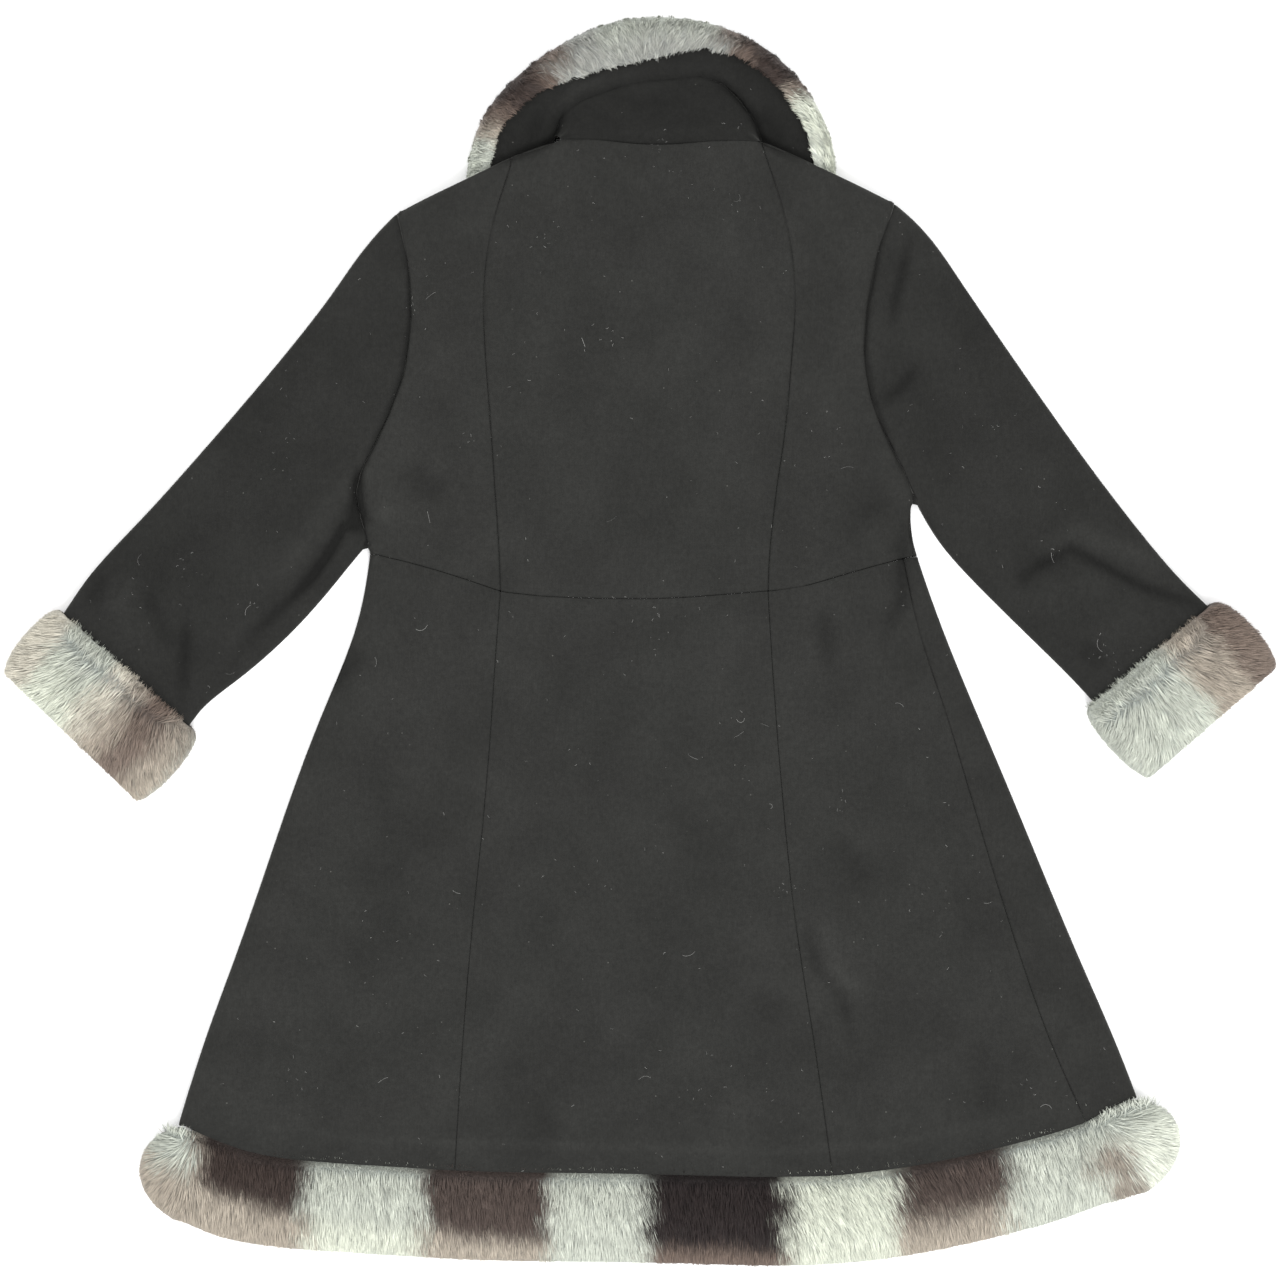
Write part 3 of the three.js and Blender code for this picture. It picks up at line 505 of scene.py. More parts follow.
def wool_material(name, tone):
    """Milled wool: softly mottled, felted nap, fine streaks, pale specks; painted shade in troughs and
    seams, painted light on ridges.
    """
    wool = bpy.context.scene.coat_wool
    material, tree, principled = shader(name)
    place = object_place(tree)
    mottle = stretch(tree, noise_node(tree, place, 30, 4), 0.3, 0.7, 0.86, 1.14)
    felt = noise_node(tree, place, 900, 4, 0.65)
    felt_tone = stretch(tree, felt, 0.3, 0.7, 0.86, 1.16)
    squeeze = add_node(
        tree, "ShaderNodeMapping", inputs={"Vector": place, "Scale": (1400, 180, 500)}
    ).outputs["Vector"]
    nap = noise_node(tree, squeeze, 1, 2)
    nap_tone = stretch(tree, nap, 0.3, 0.7, 0.94, 1.07)
    # painted shade in the creases and along the seams, painted highlight on the ridges
    crease = add_node(tree, "ShaderNodeAttribute", {"attribute_name": "crease"}).outputs["Fac"]
    crease_painted_shading = stretch(tree, crease, -1.0, 1.0, *CREASE_TONES)
    fleck = stretch(tree, noise_node(tree, place, 330, 3, 0.6), 0.3, 0.7, 0.88, 1.12)
    tones = product(tree, mottle, felt_tone, nap_tone, crease_painted_shading, fleck)
    base = tuple(c * tone for c in wool.colour) + (1,)
    coloured = mix_colours(tree, "MULTIPLY", 1.0, base, grey_of(tree, tones))
    specks = add_node(
        tree, "ShaderNodeTexVoronoi", inputs={"Vector": place, "Scale": 210.0, "Randomness": 1.0}
    )
    near = stretch(tree, specks.outputs["Distance"], 0.05, 0.11, 1.0, 0.0)
    chosen = add_node(
        tree, "ShaderNodeSeparateColor", inputs={"Color": specks.outputs["Color"]}
    ).outputs["Red"]
    few = stretch(tree, chosen, 0.93, 0.96, 0.0, 0.5)
    speckled = mix_colours(tree, "MIX", product(tree, near, few), coloured, (0.11, 0.11, 0.10, 1))
    relief = add_node(
        tree, "ShaderNodeBump",
        inputs={"Strength": 0.6, "Distance": wool.nap_depth, "Height": calculate(tree, "ADD", felt, nap)},
    )
    plug(tree, principled, {
        "Base Color": speckled, "Normal": relief.outputs["Normal"], "Roughness": wool.roughness,
        "Specular IOR Level": 0.1, "Sheen Weight": wool.sheen, "Sheen Roughness": 0.45,
        "Sheen Tint": (0.62, 0.62, 0.58, 1),
    })
    return material


def fur_material(name, undercoat=False):
    """Fur. Its attribute holds the colour at a strand's tip and, as alpha, the height along the strand."""
    material, tree, principled = shader(name)
    strand = add_node(tree, "ShaderNodeAttribute", {"attribute_name": "strand"})
    tips = strand.outputs["Color"]
    roots = mix_colours(tree, "MULTIPLY", 1.0, tips, ROOT_SHADE + (1,))
    climb = stretch(tree, strand.outputs["Alpha"], 0.05, 0.7, 0.0, 1.0)
    coloured = mix_colours(tree, "MIX", climb, roots, tips)
    if undercoat:
        wool = noise_node(tree, object_place(tree), 900, 4, 0.7)
        coloured = mix_colours(
            tree, "MULTIPLY", 1.0, coloured, grey_of(tree, stretch(tree, wool, 0.3, 0.7, 0.6, 1.2))
        )
        relief = add_node(
            tree, "ShaderNodeBump", inputs={"Strength": 1.0, "Distance": 0.0008, "Height": wool}
        )
        plug(tree, principled, {"Normal": relief.outputs["Normal"]})
    plug(tree, principled, {
        "Base Color": coloured, "Roughness": 0.6, "Specular IOR Level": 0.16, "Sheen Weight": 0.05,
        "Sheen Roughness": 0.4,
    })
    return material


# ---- cloth ----
def crease_height(points, creases, sharpness=0.0):
    """How far the creases move the cloth at each point, in metres.

    With a sharpness, as used for the painted shade and highlight, creases wider than SHARP_CREASE count for
    less.
    """
    flat = points[:, :2] / MM
    total = np.zeros(len(flat))
    for width, height, *path in creases:
        path = np.array(path, float)
        lengths = np.linalg.norm(np.diff(path, axis=0), axis=1)
        starts = np.concatenate([[0], np.cumsum(lengths)])
        nearest, along = np.full(len(flat), 1e9), np.zeros(len(flat))
        for (a, b), length, start in zip(zip(path, path[1:]), lengths, starts):
            t = np.clip(((flat - a) @ (b - a)) / length**2, 0, 1)
            away = np.linalg.norm(flat - a - t[:, None] * (b - a), axis=1)
            closer = away < nearest
            nearest = np.where(closer, away, nearest)
            along = np.where(closer, start + t * length, along)
        way = along / starts[-1]
        ends = smooth(-0.12, 0.3, way) * (1 - smooth(0.7, 1.12, way))
        share = min(1.0, SHARP_CREASE / width) ** sharpness
        total += share * height * ends * np.exp(-((nearest / width) ** 2))
    return np.clip(total, -DEEPEST_CREASE, DEEPEST_CREASE) * MM


UNDER_LIFT = 0.0015  # the hidden side is creased only where it is this far clear of the surface


def crease_cloth(mesh, painted_seam_shade):
    """Adds the creases and a soft waviness to a shell, on its upper and its hidden side.

    The second argument is the painted shade along the seams, stored with the troughs' painted shade in the
    crease attribute.
    """
    points, normals = mesh_points(mesh), mesh_normals(mesh)
    upper = smooth(0.15, 0.7, normals[:, 2])
    sway = bpy.context.scene.coat_wool.sway
    wave = sway * (waves(points * (1, 1, 0), 0.062) + 0.5 * waves(points * (1, 1, 0), 0.027, 1))
    above = upper * crease_height(points, CREASES)
    lower = smooth(0.3, 0.8, -normals[:, 2]) * smooth(UNDER_LIFT, 3 * UNDER_LIFT, points[:, 2])
    below = lower * crease_height(points, UNDER_CREASES)
    # painted shade of the troughs and painted highlight of the ridges, kept for the nap's colour
    shade = upper * crease_height(points, CREASES, 1.0) - lower * crease_height(points, UNDER_CREASES, 1.0)
    points[:, 2] += above + upper * wave + below
    put_points(mesh, points)
    # the seams' painted shade darkens the nap further
    shade = np.clip(shade / (DEEPEST_CREASE * MM) - painted_seam_shade, -1, 1)
    attribute = mesh.attributes.new("crease", "FLOAT", "POINT")
    attribute.data.foreach_set("value", shade.astype(np.float32))


SEAM_SEARCH = 0.0034
SEAM_LEFT = 0.0003  # what is left between a rim and the solid that it is sewn to
SEAM_SHADE = 0.55  # how much painted shade, like that of the deepest trough, darkens the nap along a seam
# the painted shade along the armhole seams, in full
ARMHOLE_SHADE = 1.0


def close_seams(mesh, node):
    """Moves the rims of a shell towards the cloth beside them, where their rounding has opened the seam.

    Gives, for each point of such a rim, how much painted shade darkens the nap along its seam.
    """
    beside = others_tree(node, CLOTH_NODES)
    points, normals = mesh_points(mesh), mesh_normals(mesh)
    painted_seam_shade = np.zeros(len(points))
    rim = smooth(0.3, 0.7, np.hypot(normals[:, 0], normals[:, 1]))
    for i in np.nonzero(rim > 0)[0]:
        near, _, _, away = beside.find_nearest(Vector(points[i]), SEAM_SEARCH)
        if near is None:
            continue
        painted_seam_shade[i] = rim[i]
        if away < SEAM_LEFT:
            continue
        gap = np.array(near) - points[i]
        if np.hypot(gap[0], gap[1]) > 0.8 * away and gap @ normals[i] > 0.2 * away:
            points[i] += gap * (1 - SEAM_LEFT / away) * rim[i]
    put_points(mesh, points)
    return painted_seam_shade * (ARMHOLE_SHADE if node in SLEEVE_NODES else SEAM_SHADE)


CLOTH_LEVELS = {
    "back_skirt_centre": 3, "back_skirt_left": 3, "back_skirt_right": 3, "sleeve_left": 3, "sleeve_right": 3,
    "front_bodice_left": 1, "front_bodice_right": 1,
}
CLOTH_CREASE = 0.4


def cloth_piece(node, material):
    mesh = smooth_copy(node, CLOTH_LEVELS.get(node, 2), CLOTH_CREASE)
    mesh.name = node + "_cloth"
    painted_seam_shade = close_seams(mesh, node)
    crease_cloth(mesh, painted_seam_shade)
    piece = add_piece(node + "_cloth", mesh, material)
    declare_cut(node)
    return piece


class ClothOperator:
    """What the operators for cloth pieces share."""

    bl_options = {"REGISTER", "UNDO"}
    nodes = ()
    finish = ""
    tone = 1.0

    def execute(self, context):
        material = wool_material(self.finish, self.tone)
        for node in self.nodes:
            cloth_piece(node, material)
        return {"FINISHED"}


class COAT_OT_back(ClothOperator, bpy.types.Operator):
    """Makes the six panels of the back, between the princess seams and the waist seam"""

    bl_idname = "coat.back"
    bl_label = "Back panels"
    nodes = BACK_NODES
    finish = "back_wool"


class COAT_OT_fronts(ClothOperator, bpy.types.Operator):
    """Makes the two fronts, bodice and skirt, under the back"""

    bl_idname = "coat.fronts"
    bl_label = "Fronts"
    nodes = FRONT_NODES
    finish = "front_wool"
    tone = 0.95


class COAT_OT_sleeves(ClothOperator, bpy.types.Operator):
    """Makes the two sleeves"""

    bl_idname = "coat.sleeves"
    bl_label = "Sleeves"
    nodes = SLEEVE_NODES
    finish = "sleeve_wool"
    tone = 0.82


class COAT_OT_collar_cloth(ClothOperator, bpy.types.Operator):
    """Makes the collar's stand and its under collar"""

    bl_idname = "coat.collar_cloth"
    bl_label = "Collar cloth"
    nodes = COLLAR_NODES
    finish = "collar_wool"
    # the collar's wool is drawn darker: painted shade, as the stand and wings lie lower than the back's edge
    tone = 0.6


# ---- fur ----
COVER_REACH = 0.0055  # what lies nearer than this over the fur's skin leaves it bare
SIDEWAYS = 0.75  # the skin that faces up or down by less than this has no fur where cloth lies right over it
SKIN_LEVELS, SKIN_CREASE = 2, 0.45
RAY_START, RAY_REACH = 0.0002, 0.1
DEEPEST_SHARE, LEAST_DEPTH = 0.45, 0.001  # of the fur's thickness, and in metres where none is found
COVER_START, OWN_START = 0.00035, 0.0008  # how far off the skin the tests of what lies over it start
PAST_EDGE = 0.0009  # a spot that is further than this from the open skin, aslant, lies past its edge
UNDER_SHARE = 0.15  # how much less fur is needed underneath, away from the rims
RIM_FACING = 0.6  # a rim's triangles face up or down by less than this
UNDER_FACING = -0.3  # and those underneath face up by less than this
FLOOR_CLEAR = 0.0003
STEP_DEPTHS = (1.0, 0.5, 0.16, 0.0)  # how deep below the tips a strand is at each of its joints
STEP_WIDTHS = (0.75, 1.0, 0.72)
STEP_PULLS = (0.0, 0.16, 0.36, 0.55)  # how far a strand has gathered into its lock at each joint
STEP_CLIMBS = (0.0, 0.6, 0.95, 1.0)  # how far a strand with a height of its own has climbed at each joint
STEP_HEIGHTS = (0.0, 0.0, 0.4, 0.4, 0.78, 0.78, 1.0)  # how far along the strand each of its points is


def is_clear(tree, place, direction):
    """Whether nothing of a tree lies in this direction within the reach of the fur."""
    return tree.ray_cast(Vector(place), Vector(direction), COVER_REACH)[0] is None


class FurSkin:
    """The outer form of one fur piece: its fine mesh, the depth of its pile and what of it lies open."""

    def __init__(self, node, cover, roof):
        self.mesh = smooth_copy(node, SKIN_LEVELS, SKIN_CREASE)
        self.points = mesh_points(self.mesh)
        self.normals = mesh_normals(self.mesh)
        self.triangles = mesh_triangles(self.mesh)
        own = shape_tree((self.points, self.triangles))
        self.pile = bpy.context.scene.coat_fur.pile
        depths = []
        for point, normal in zip(self.points, self.normals):
            inwards = Vector(-normal)
            hit = own.ray_cast(Vector(point) + inwards * RAY_START, inwards, RAY_REACH)
            depths.append(DEEPEST_SHARE * hit[3] if hit[0] else LEAST_DEPTH)
        self.depth = np.minimum(self.pile, np.array(depths))
        corners = self.points[self.triangles]
        self.middles = corners.mean(1)
        facing = np.cross(corners[:, 1] - corners[:, 0], corners[:, 2] - corners[:, 0])
        self.areas = np.linalg.norm(facing, axis=1) / 2
        facing = unit(facing)
        self.open = np.array([
            is_clear(cover, middle + COVER_START * out, out)
            and is_clear(own, middle + OWN_START * out, out)
            and (abs(out[2]) > SIDEWAYS or is_clear(roof, middle, UP))
            for middle, out in zip(self.middles, facing)
        ])
        self.facing = facing
        self.open_ids = np.nonzero(self.open)[0]
        self.tree = shape_tree((self.points, self.triangles[self.open_ids]))

    def bare_share(self):
        """For each point of the mesh, the share of the triangles around it that are covered."""
        total, covered = np.zeros(len(self.points)), np.zeros(len(self.points))
        for corner in range(3):
            np.add.at(total, self.triangles[:, corner], 1)
            np.add.at(covered, self.triangles[:, corner], ~self.open)
        return covered / np.maximum(total, 1)

    def blend_at(self, ids, spots, values):
        """Values of the mesh's points, blended at spots that lie on its triangles."""
        a, b, c = (self.points[self.triangles[ids, k]] for k in range(3))
        whole = np.cross(b - a, c - a)
        size = np.maximum((whole * whole).sum(1), 1e-20)
        v = (np.cross(spots - a, c - a) * whole).sum(1) / size
        w = (np.cross(b - a, spots - a) * whole).sum(1) / size
        shares = np.stack([1 - v - w, v, w], 1).clip(0, 1)
        corners = values[self.triangles[ids]]
        if corners.ndim == 2:
            return (corners * shares).sum(1)
        return (corners * shares[:, :, None]).sum(1)

    def scatter(self, count, rng):
        """Spots for the strands' roots, spread over the open skin."""
        facing = self.facing[self.open_ids, 2]
        rims = self.middles[self.open_ids[np.abs(facing) < RIM_FACING]]
        rim_tree = point_tree(rims)
        from_rim = np.array([rim_tree.find(middle)[2] for middle in self.middles[self.open_ids]])
        reach = bpy.context.scene.coat_fur.strand_length
        under = UNDER_SHARE + (1 - UNDER_SHARE) * (1 - smooth(0.5 * reach, 1.1 * reach, from_rim))
        weights = self.areas[self.open_ids] * np.where(facing < UNDER_FACING, under, 1)
        ids = self.open_ids[rng.choice(len(weights), count, p=weights / weights.sum())]
        u, v = rng.random((2, count))
        u, v = np.where(u + v > 1, 1 - u, u), np.where(u + v > 1, 1 - v, v)
        a, b, c = (self.points[self.triangles[ids, k]] for k in range(3))
        return ids, a + u[:, None] * (b - a) + v[:, None] * (c - a)

    def settle(self, spots, normals):
        """Puts spots back on the open skin. A spot past its edge stays where it is and keeps its normal."""
        places, directions = spots.copy(), normals.copy()
        ids = np.zeros(len(spots), int)
        near = np.zeros_like(spots)
        for i, spot in enumerate(spots):
            location, _, index, _ = self.tree.find_nearest(Vector(spot))
            near[i] = location
            ids[i] = self.open_ids[index]
        found = unit(self.blend_at(ids, near, self.normals))
        gap = spots - near
        distance = np.linalg.norm(gap, axis=1)
        aslant = np.linalg.norm(gap - (gap * found).sum(1, keepdims=True) * found, axis=1)
        past = (distance > PAST_EDGE) & (aslant > 0.6 * distance)
        places[~past] = near[~past]
        directions[~past] = found[~past]
        return places, directions, past


def wrapped_flow(direction, normals):
    """The direction on the skin, and round its rims, in which fur runs that lies this way from above."""
    across = np.cross(direction, UP)
    round_rim = np.cross(normals, across)
    level = direction - (direction * normals).sum(1, keepdims=True) * normals
    return unit(round_rim + 0.2 * level)


def grow(skin, name, count, flow, tint_at, mess, rng):
    """The strands of one fur piece as one mesh of tapered blades that follow its skin.

    mess is how much the strands gather into locks. Where flow gives a height, the strand isn't laid on the
    skin but ends at that height.
    """
    fur = bpy.context.scene.coat_fur
    ids, spots = skin.scatter(count, rng)
    normals = unit(skin.blend_at(ids, spots, skin.normals))
    depth = skin.blend_at(ids, spots, skin.depth)
    # Locks: each strand leans towards the middle of the lock it belongs to.
    locks = spots[:: max(1, int(count * (fur.clump**2) / max(skin.areas[skin.open].sum(), 1e-9)))]
    lock_tree = point_tree(locks)
    lock_of = np.array([lock_tree.find(p)[1] for p in spots])
    lock_tone = rng.normal(1, 0.05 + 0.05 * mess, len(locks))[lock_of]
    lock_rise = rng.normal(0, 0.0006 * mess, len(locks))[lock_of]
    lock_turn = rng.normal(0, 9 * mess, len(locks))[lock_of]
    pull = mess * (locks[lock_of] - spots)
    turn = lock_turn + rng.normal(0, 3 + 5 * mess, count) + (5 + 9 * mess) * waves(spots, 0.011, 2)
    direction, share, lean, deep, end_height = flow(spots, rng)
    free = end_height > 0
    length = fur.strand_length * share * np.clip(rng.normal(0.96, 0.12, count), 0.6, 1.2)
    direction = levelled(turned(direction, turn))
    joints, sides = [], []
    place, normal = spots.copy(), normals.copy()
    tangent = np.where(free[:, None], direction, wrapped_flow(direction, normal))
    rise = np.minimum(lock_rise + rng.normal(-0.0002, 0.0004, count), 0.0010)
    twist = rng.normal(0, 0.45, count)[:, None]
    for joint, below in enumerate(STEP_DEPTHS):
        if joint:
            place = place + tangent * (length / 3 * (0.72 if joint == 1 else 1.0) * lean)[:, None]
            settled, settled_normal, past = skin.settle(place, normal)
            place = np.where(free[:, None], place, settled)
            normal = np.where(free[:, None], normal, settled_normal)
            fresh = wrapped_flow(direction, normal)
            tangent = np.where((past | free)[:, None], unit(tangent - 0.12 * normal * ~free[:, None]), fresh)
        sink = depth * deep * below - rise * (1 - below)
        centre = place - normal * sink[:, None]
        centre += (pull - (pull * normal).sum(1, keepdims=True) * normal) * STEP_PULLS[joint]
        climbing = spots[:, 2] + (end_height - spots[:, 2]) * STEP_CLIMBS[joint] - depth * deep * below
        centre[:, 2] = np.maximum(np.where(free, climbing, centre[:, 2]), FLOOR_CLEAR)
        joints.append(centre)
        sides.append(unit(np.cross(tangent, normal) + twist * normal))
    width = fur.strand_width * rng.uniform(0.75, 1.2, count)
    rows = [
        joints[k] + side * sides[k] * (width * share / 2)[:, None]
        for k, share in enumerate(STEP_WIDTHS) for side in (-1, 1)
    ]
    rows.append(joints[3])
    points = np.stack(rows, 1).reshape(-1, 3)
    points[:, 2] = np.maximum(points[:, 2], FLOOR_CLEAR)
    first = 7 * np.arange(count)[:, None]
    quads = np.concatenate([first + [0, 1, 3, 2], first + [2, 3, 5, 4]])
    tips = first + [4, 5, 6]
    mesh = joined_mesh(name, points, quads, tips)
    tone = np.clip(lock_tone * rng.normal(1, 0.11, count), 0.6, 1.35)
    colour = tint_at(joints[2], 1.0, rng) * tone[:, None]
    store_strand(mesh, np.repeat(colour, 7, 0), np.tile(STEP_HEIGHTS, count))
    return mesh


def joined_mesh(name, points, quads, triangles):
    """One mesh from arrays of points, quads and triangles."""
    mesh = bpy.data.meshes.new(name)
    mesh.vertices.add(len(points))
    mesh.vertices.foreach_set("co", points.astype(np.float32).ravel())
    corners = np.concatenate([quads.ravel(), triangles.ravel()]).astype(np.int32)
    sizes = np.concatenate([np.full(len(quads), 4), np.full(len(triangles), 3)])
    mesh.loops.add(len(corners))
    mesh.loops.foreach_set("vertex_index", corners)
    mesh.polygons.add(len(sizes))
    mesh.polygons.foreach_set("loop_start", np.concatenate([[0], np.cumsum(sizes)[:-1]]).astype(np.int32))
    mesh.update(calc_edges=True)
    mesh.validate()
    return mesh


def store_strand(mesh, colours, heights):
    """Stores the colour at the tip and the height along the strand for each point."""
    values = np.concatenate([colours, heights[:, None]], 1)
    attribute = mesh.attributes.new("strand", "FLOAT_COLOR", "POINT")
    attribute.data.foreach_set("color", values.astype(np.float32).ravel())


UNDERCOAT_DEPTH = 0.6  # of the pile
RIM_FILL = 0.42  # how much less deep it lies along the rims
UNDERCOAT_HEIGHT = 0.5  # the height along a strand that its colour is that of
UNDERCOAT_TONE = 0.95


def undercoat(skin, name, tint_at, rng):
    """The dense short fur between the long strands, sunk below their tips."""
    bare = skin.bare_share()
    sunk = UNDERCOAT_DEPTH - RIM_FILL * (1 - smooth(0.35, 0.85, np.abs(skin.normals[:, 2]))) * (1 - bare)
    points = skin.points - skin.normals * (sunk * skin.depth)[:, None]
    points += skin.normals * ((1 - bare) * 0.0004 * waves(points, 0.004, 3))[:, None]
    points[:, 2] = np.maximum(points[:, 2], 0)
    mesh = skin.mesh
    mesh.name = name
    put_points(mesh, points)
    store_strand(mesh, UNDERCOAT_TONE * tint_at(points, 0.0, rng), np.full(len(points), UNDERCOAT_HEIGHT))
    return mesh


def stripe_colours(stripes, place, level, fade):
    """The colour at places along a stripe table, each stripe turning from its first to its second shade."""
    starts = np.array([row[0] for row in stripes], float)
    widths = np.diff(starts)
    total = np.zeros((len(place), 3))
    reached = np.ones(len(place))
    for i, (_, first, second) in enumerate(stripes[:-1]):
        ahead = np.zeros(len(place))
        if i + 1 < len(widths):
            soft = min(fade, 0.45 * min(widths[i], widths[i + 1]))
            ahead = smooth(starts[i + 1] - soft, starts[i + 1] + soft, place)
        low, high = np.array(FUR_SHADES[first]), np.array(FUR_SHADES[second])
        total += (reached - ahead)[:, None] * (low + (high - low) * level[:, None])
        reached = ahead
    return total


def fur_piece(node, count, flow, stripes, fade, place_of, level_of, jitter, mess, tone_of=None):
    """Makes a fur piece: the undercoat, which is its sheet, and the strands on it.

    tone_of gives the painted light and shade: how much paler or darker the fur is drawn at points and their
    levels.
    """
    rng = np.random.default_rng(SEED + len(node) + count)
    skin = FurSkin(node, others_tree(node, sorted(FRAME_SHAPES)), others_tree(node, CLOTH_NODES))

    def tint_at(points, spread, rng):
        blotches = 0.8 * waves(points, 0.018, 4) + 0.5 * waves(points, 0.007, 9)
        ragged = place_of(points) + jitter * (blotches + 0.4 * spread * rng.normal(0, 1, len(points)))
        inner = level_of(points) + 0.2 * waves(points, 0.02, 5)
        inner = inner + 0.13 * spread * rng.normal(0, 1, len(points))
        colours = stripe_colours(stripes, ragged, smooth(0, 1, inner), fade)
        return colours * tone_of(points, inner)[:, None] if tone_of else colours

    strands = grow(skin, node + "_strands", count, flow, tint_at, mess, rng)
    hair = add_piece(node + "_strands", strands, fur_material(node + "_fur"))
    under = undercoat(skin, node + "_undercoat", tint_at, rng)
    base = add_piece(node + "_undercoat", under, fur_material(node + "_underfur", undercoat=True))
    declare_cut(node)
    return base


def laid(direction, length, lean=0.93, deep=1.0, end_height=0.0):
    """What a flow gives for each strand.

    That is its direction, its share of the full length, how much of its length runs along the skin, its
    root's share of the pile's depth, and the height of its tip where it isn't laid on the skin.
    """
    values = (length, lean, deep, end_height)
    return (direction, *(np.broadcast_to(np.asarray(value, float), len(direction)) for value in values))


HEM_MESS, CUFF_MESS, COLLAR_MESS = 0.4, 0.6, 1.0
# How softly one stripe turns into the next, and how far its border strays: in millimetres along the hem,
# in shares of a cuff's width and in degrees round the collar.
HEM_FADE, CUFF_FADE, COLLAR_FADE = 8, 0.1, 4
HEM_JITTER, CUFF_JITTER, COLLAR_JITTER = 8, 0.06, 3

# The hem. Past the wool's corners its fur counts from these points.
HEM_LEFT, HEM_RIGHT = (-300, -286), (325, -268)
HEM_CLOTH = ("back_skirt_left", "back_skirt_centre", "back_skirt_right", "front_skirt_right")
HEM_STEP = 8  # millimetres from one measured point of the wool's edge to the next
HEM_TURNS = [
    # x, how far below the wool the second shade starts and over how much it comes in, in millimetres
    (-312, 14, 18), (-250, 22, 15), (-150, 29, 14), (-54, 35, 13), (88, 39, 13), (153, 20, 25),
    (222, 20, 25), (266, 10, 16), (330, 10, 20),
]
HEM_MIDDLE = 0.0112  # height of the fold of the hem's fur
HEM_PIVOTS = {"left": (-265, -303), "right": (274, -288)}
HEM_TUFTS = 4  # strands that grow nearer the wool than this may turn up over it
WOOL_TOP = 0.0164  # height of the wool beside the hem's fur
HEM_LEAST = -0.5  # what grows higher than this lies under the wool
HEM_HIDDEN = -0.2  # strands that grow further under the wool are short
HIDDEN_LENGTH = 0.1  # share of their length
FUR_LEAST = 1.6  # millimetres of the shortest tuft
HEM_SHADE, HEM_SHADE_DEPTH = 0.3, 4.0  # how dark the wool's shade on the fur is and how many mm it reaches
HEM_SHALLOW = 0.75  # how much less deep the strands' roots lie there


@lru_cache
def hem_edge():
    """The wool's lower edge from left to right, which the fur hangs from, in millimetres."""
    points = np.concatenate([mesh_points(bpy.data.objects[n + "_cloth"].data) for n in HEM_CLOTH]) / MM
    points = points[points[:, 2] > HEM_MIDDLE / MM]
    columns = np.round(points[:, 0] / HEM_STEP)
    lowest = [(HEM_STEP * c, points[columns == c, 1].min()) for c in np.unique(columns)]
    inside = [row for row in lowest if row[1] < HEM_RIGHT[1]]
    return np.array([HEM_LEFT, *inside, HEM_RIGHT], float)


def hem_down(points):
    """How far below the wool's edge a point lies, in millimetres."""
    edge = hem_edge()
    return np.interp(points[:, 0] / MM, edge[:, 0], edge[:, 1]) - points[:, 1] / MM


def hem_ends(points):
    """How far a point belongs to the hem's ends, where the fur turns round the wool's corners."""
    x = points[:, 0] / MM
    return np.maximum(smooth(-8, 10, HEM_PIVOTS["left"][0] - x), smooth(-14, 6, x - HEM_PIVOTS["right"][0]))


def hem_tone(points, level):
    """The fur lies in the wool's shade along its edge."""
    return 1 - HEM_SHADE * np.exp(-((hem_down(points) / HEM_SHADE_DEPTH) ** 2)) * (1 - hem_ends(points))


def hem_flow(points, rng):
    x, y = points[:, 0] / MM, points[:, 1] / MM
    slant = 3 + 27 * smooth(70, 110, x) * (1 - 0.45 * smooth(120, 250, x))
    slant = slant + 12 * smooth(-20, 0, x) * (1 - smooth(0, 30, x))
    down = hem_down(points)
    slant = slant * (1 - 0.55 * smooth(18, 48, down)) + 7 * waves(points, 0.05, 5)
    direction = turned((0, -1), slant)
    for side, (px, py) in HEM_PIVOTS.items():
        sign = -1 if side == "left" else 1
        out = smooth(-4, 16, sign * (x - px))
        radial = unit(np.stack([x - px, y - py], 1) + 1e-6)
        direction = unit(direction * (1 - out)[:, None] + radial * out[:, None])
    count = len(x)
    ends = hem_ends(points)
    upper = points[:, 2] > HEM_MIDDLE
    shade = stripe_colours(HEM_STRIPES, hem_place(points), np.zeros(count), HEM_FADE).mean(1)
    paleness = smooth(0.1, 0.3, shade)
    reach = HEM_TUFTS * (1 + ends)
    grouped = smooth(0.25, 0.6, waves(points, 0.03, 12))
    share = 0.04 + paleness * (0.15 + 0.3 * grouped) + 0.6 * ends
    chance = share * (1 - smooth(0.5, 1, down / reach))
    up = upper & (down > HEM_LEAST) & (rng.random(count) < chance)
    tuft = turned((0, 1), rng.normal(4, 26, count) - 22 * waves(points, 0.02, 6))
    direction[up] = tuft[up]
    past_wool = np.maximum(down, 0) + rng.uniform(0.1, 1.5, count) * (0.5 + 0.4 * paleness + 2.2 * ends)
    tuft_length = np.maximum(past_wool, FUR_LEAST) * MM / bpy.context.scene.coat_fur.strand_length
    length = np.where(up, tuft_length, np.where(upper & (down < HEM_HIDDEN), HIDDEN_LENGTH, 1))
    end_height = np.where(up, np.maximum(points[:, 2], WOOL_TOP) + rng.uniform(0.0007, 0.0018, count), 0)
    deep = 1 - HEM_SHALLOW * upper * np.exp(-((down / HEM_SHADE_DEPTH) ** 2))
    return laid(direction, length, deep=np.where(up, 0.4, deep), end_height=end_height)


def hem_place(points):
    """Where a point counts along the stripes, which lean to the right near the right end."""
    x = points[:, 0] / MM
    return x - 0.38 * (hem_down(points) - 8) * smooth(235, 275, x)


def hem_level(points):
    turns = np.array(HEM_TURNS, float)
    start, over = (np.interp(points[:, 0] / MM, turns[:, 0], turns[:, k]) for k in (1, 2))
    return (hem_down(points) - start) / over


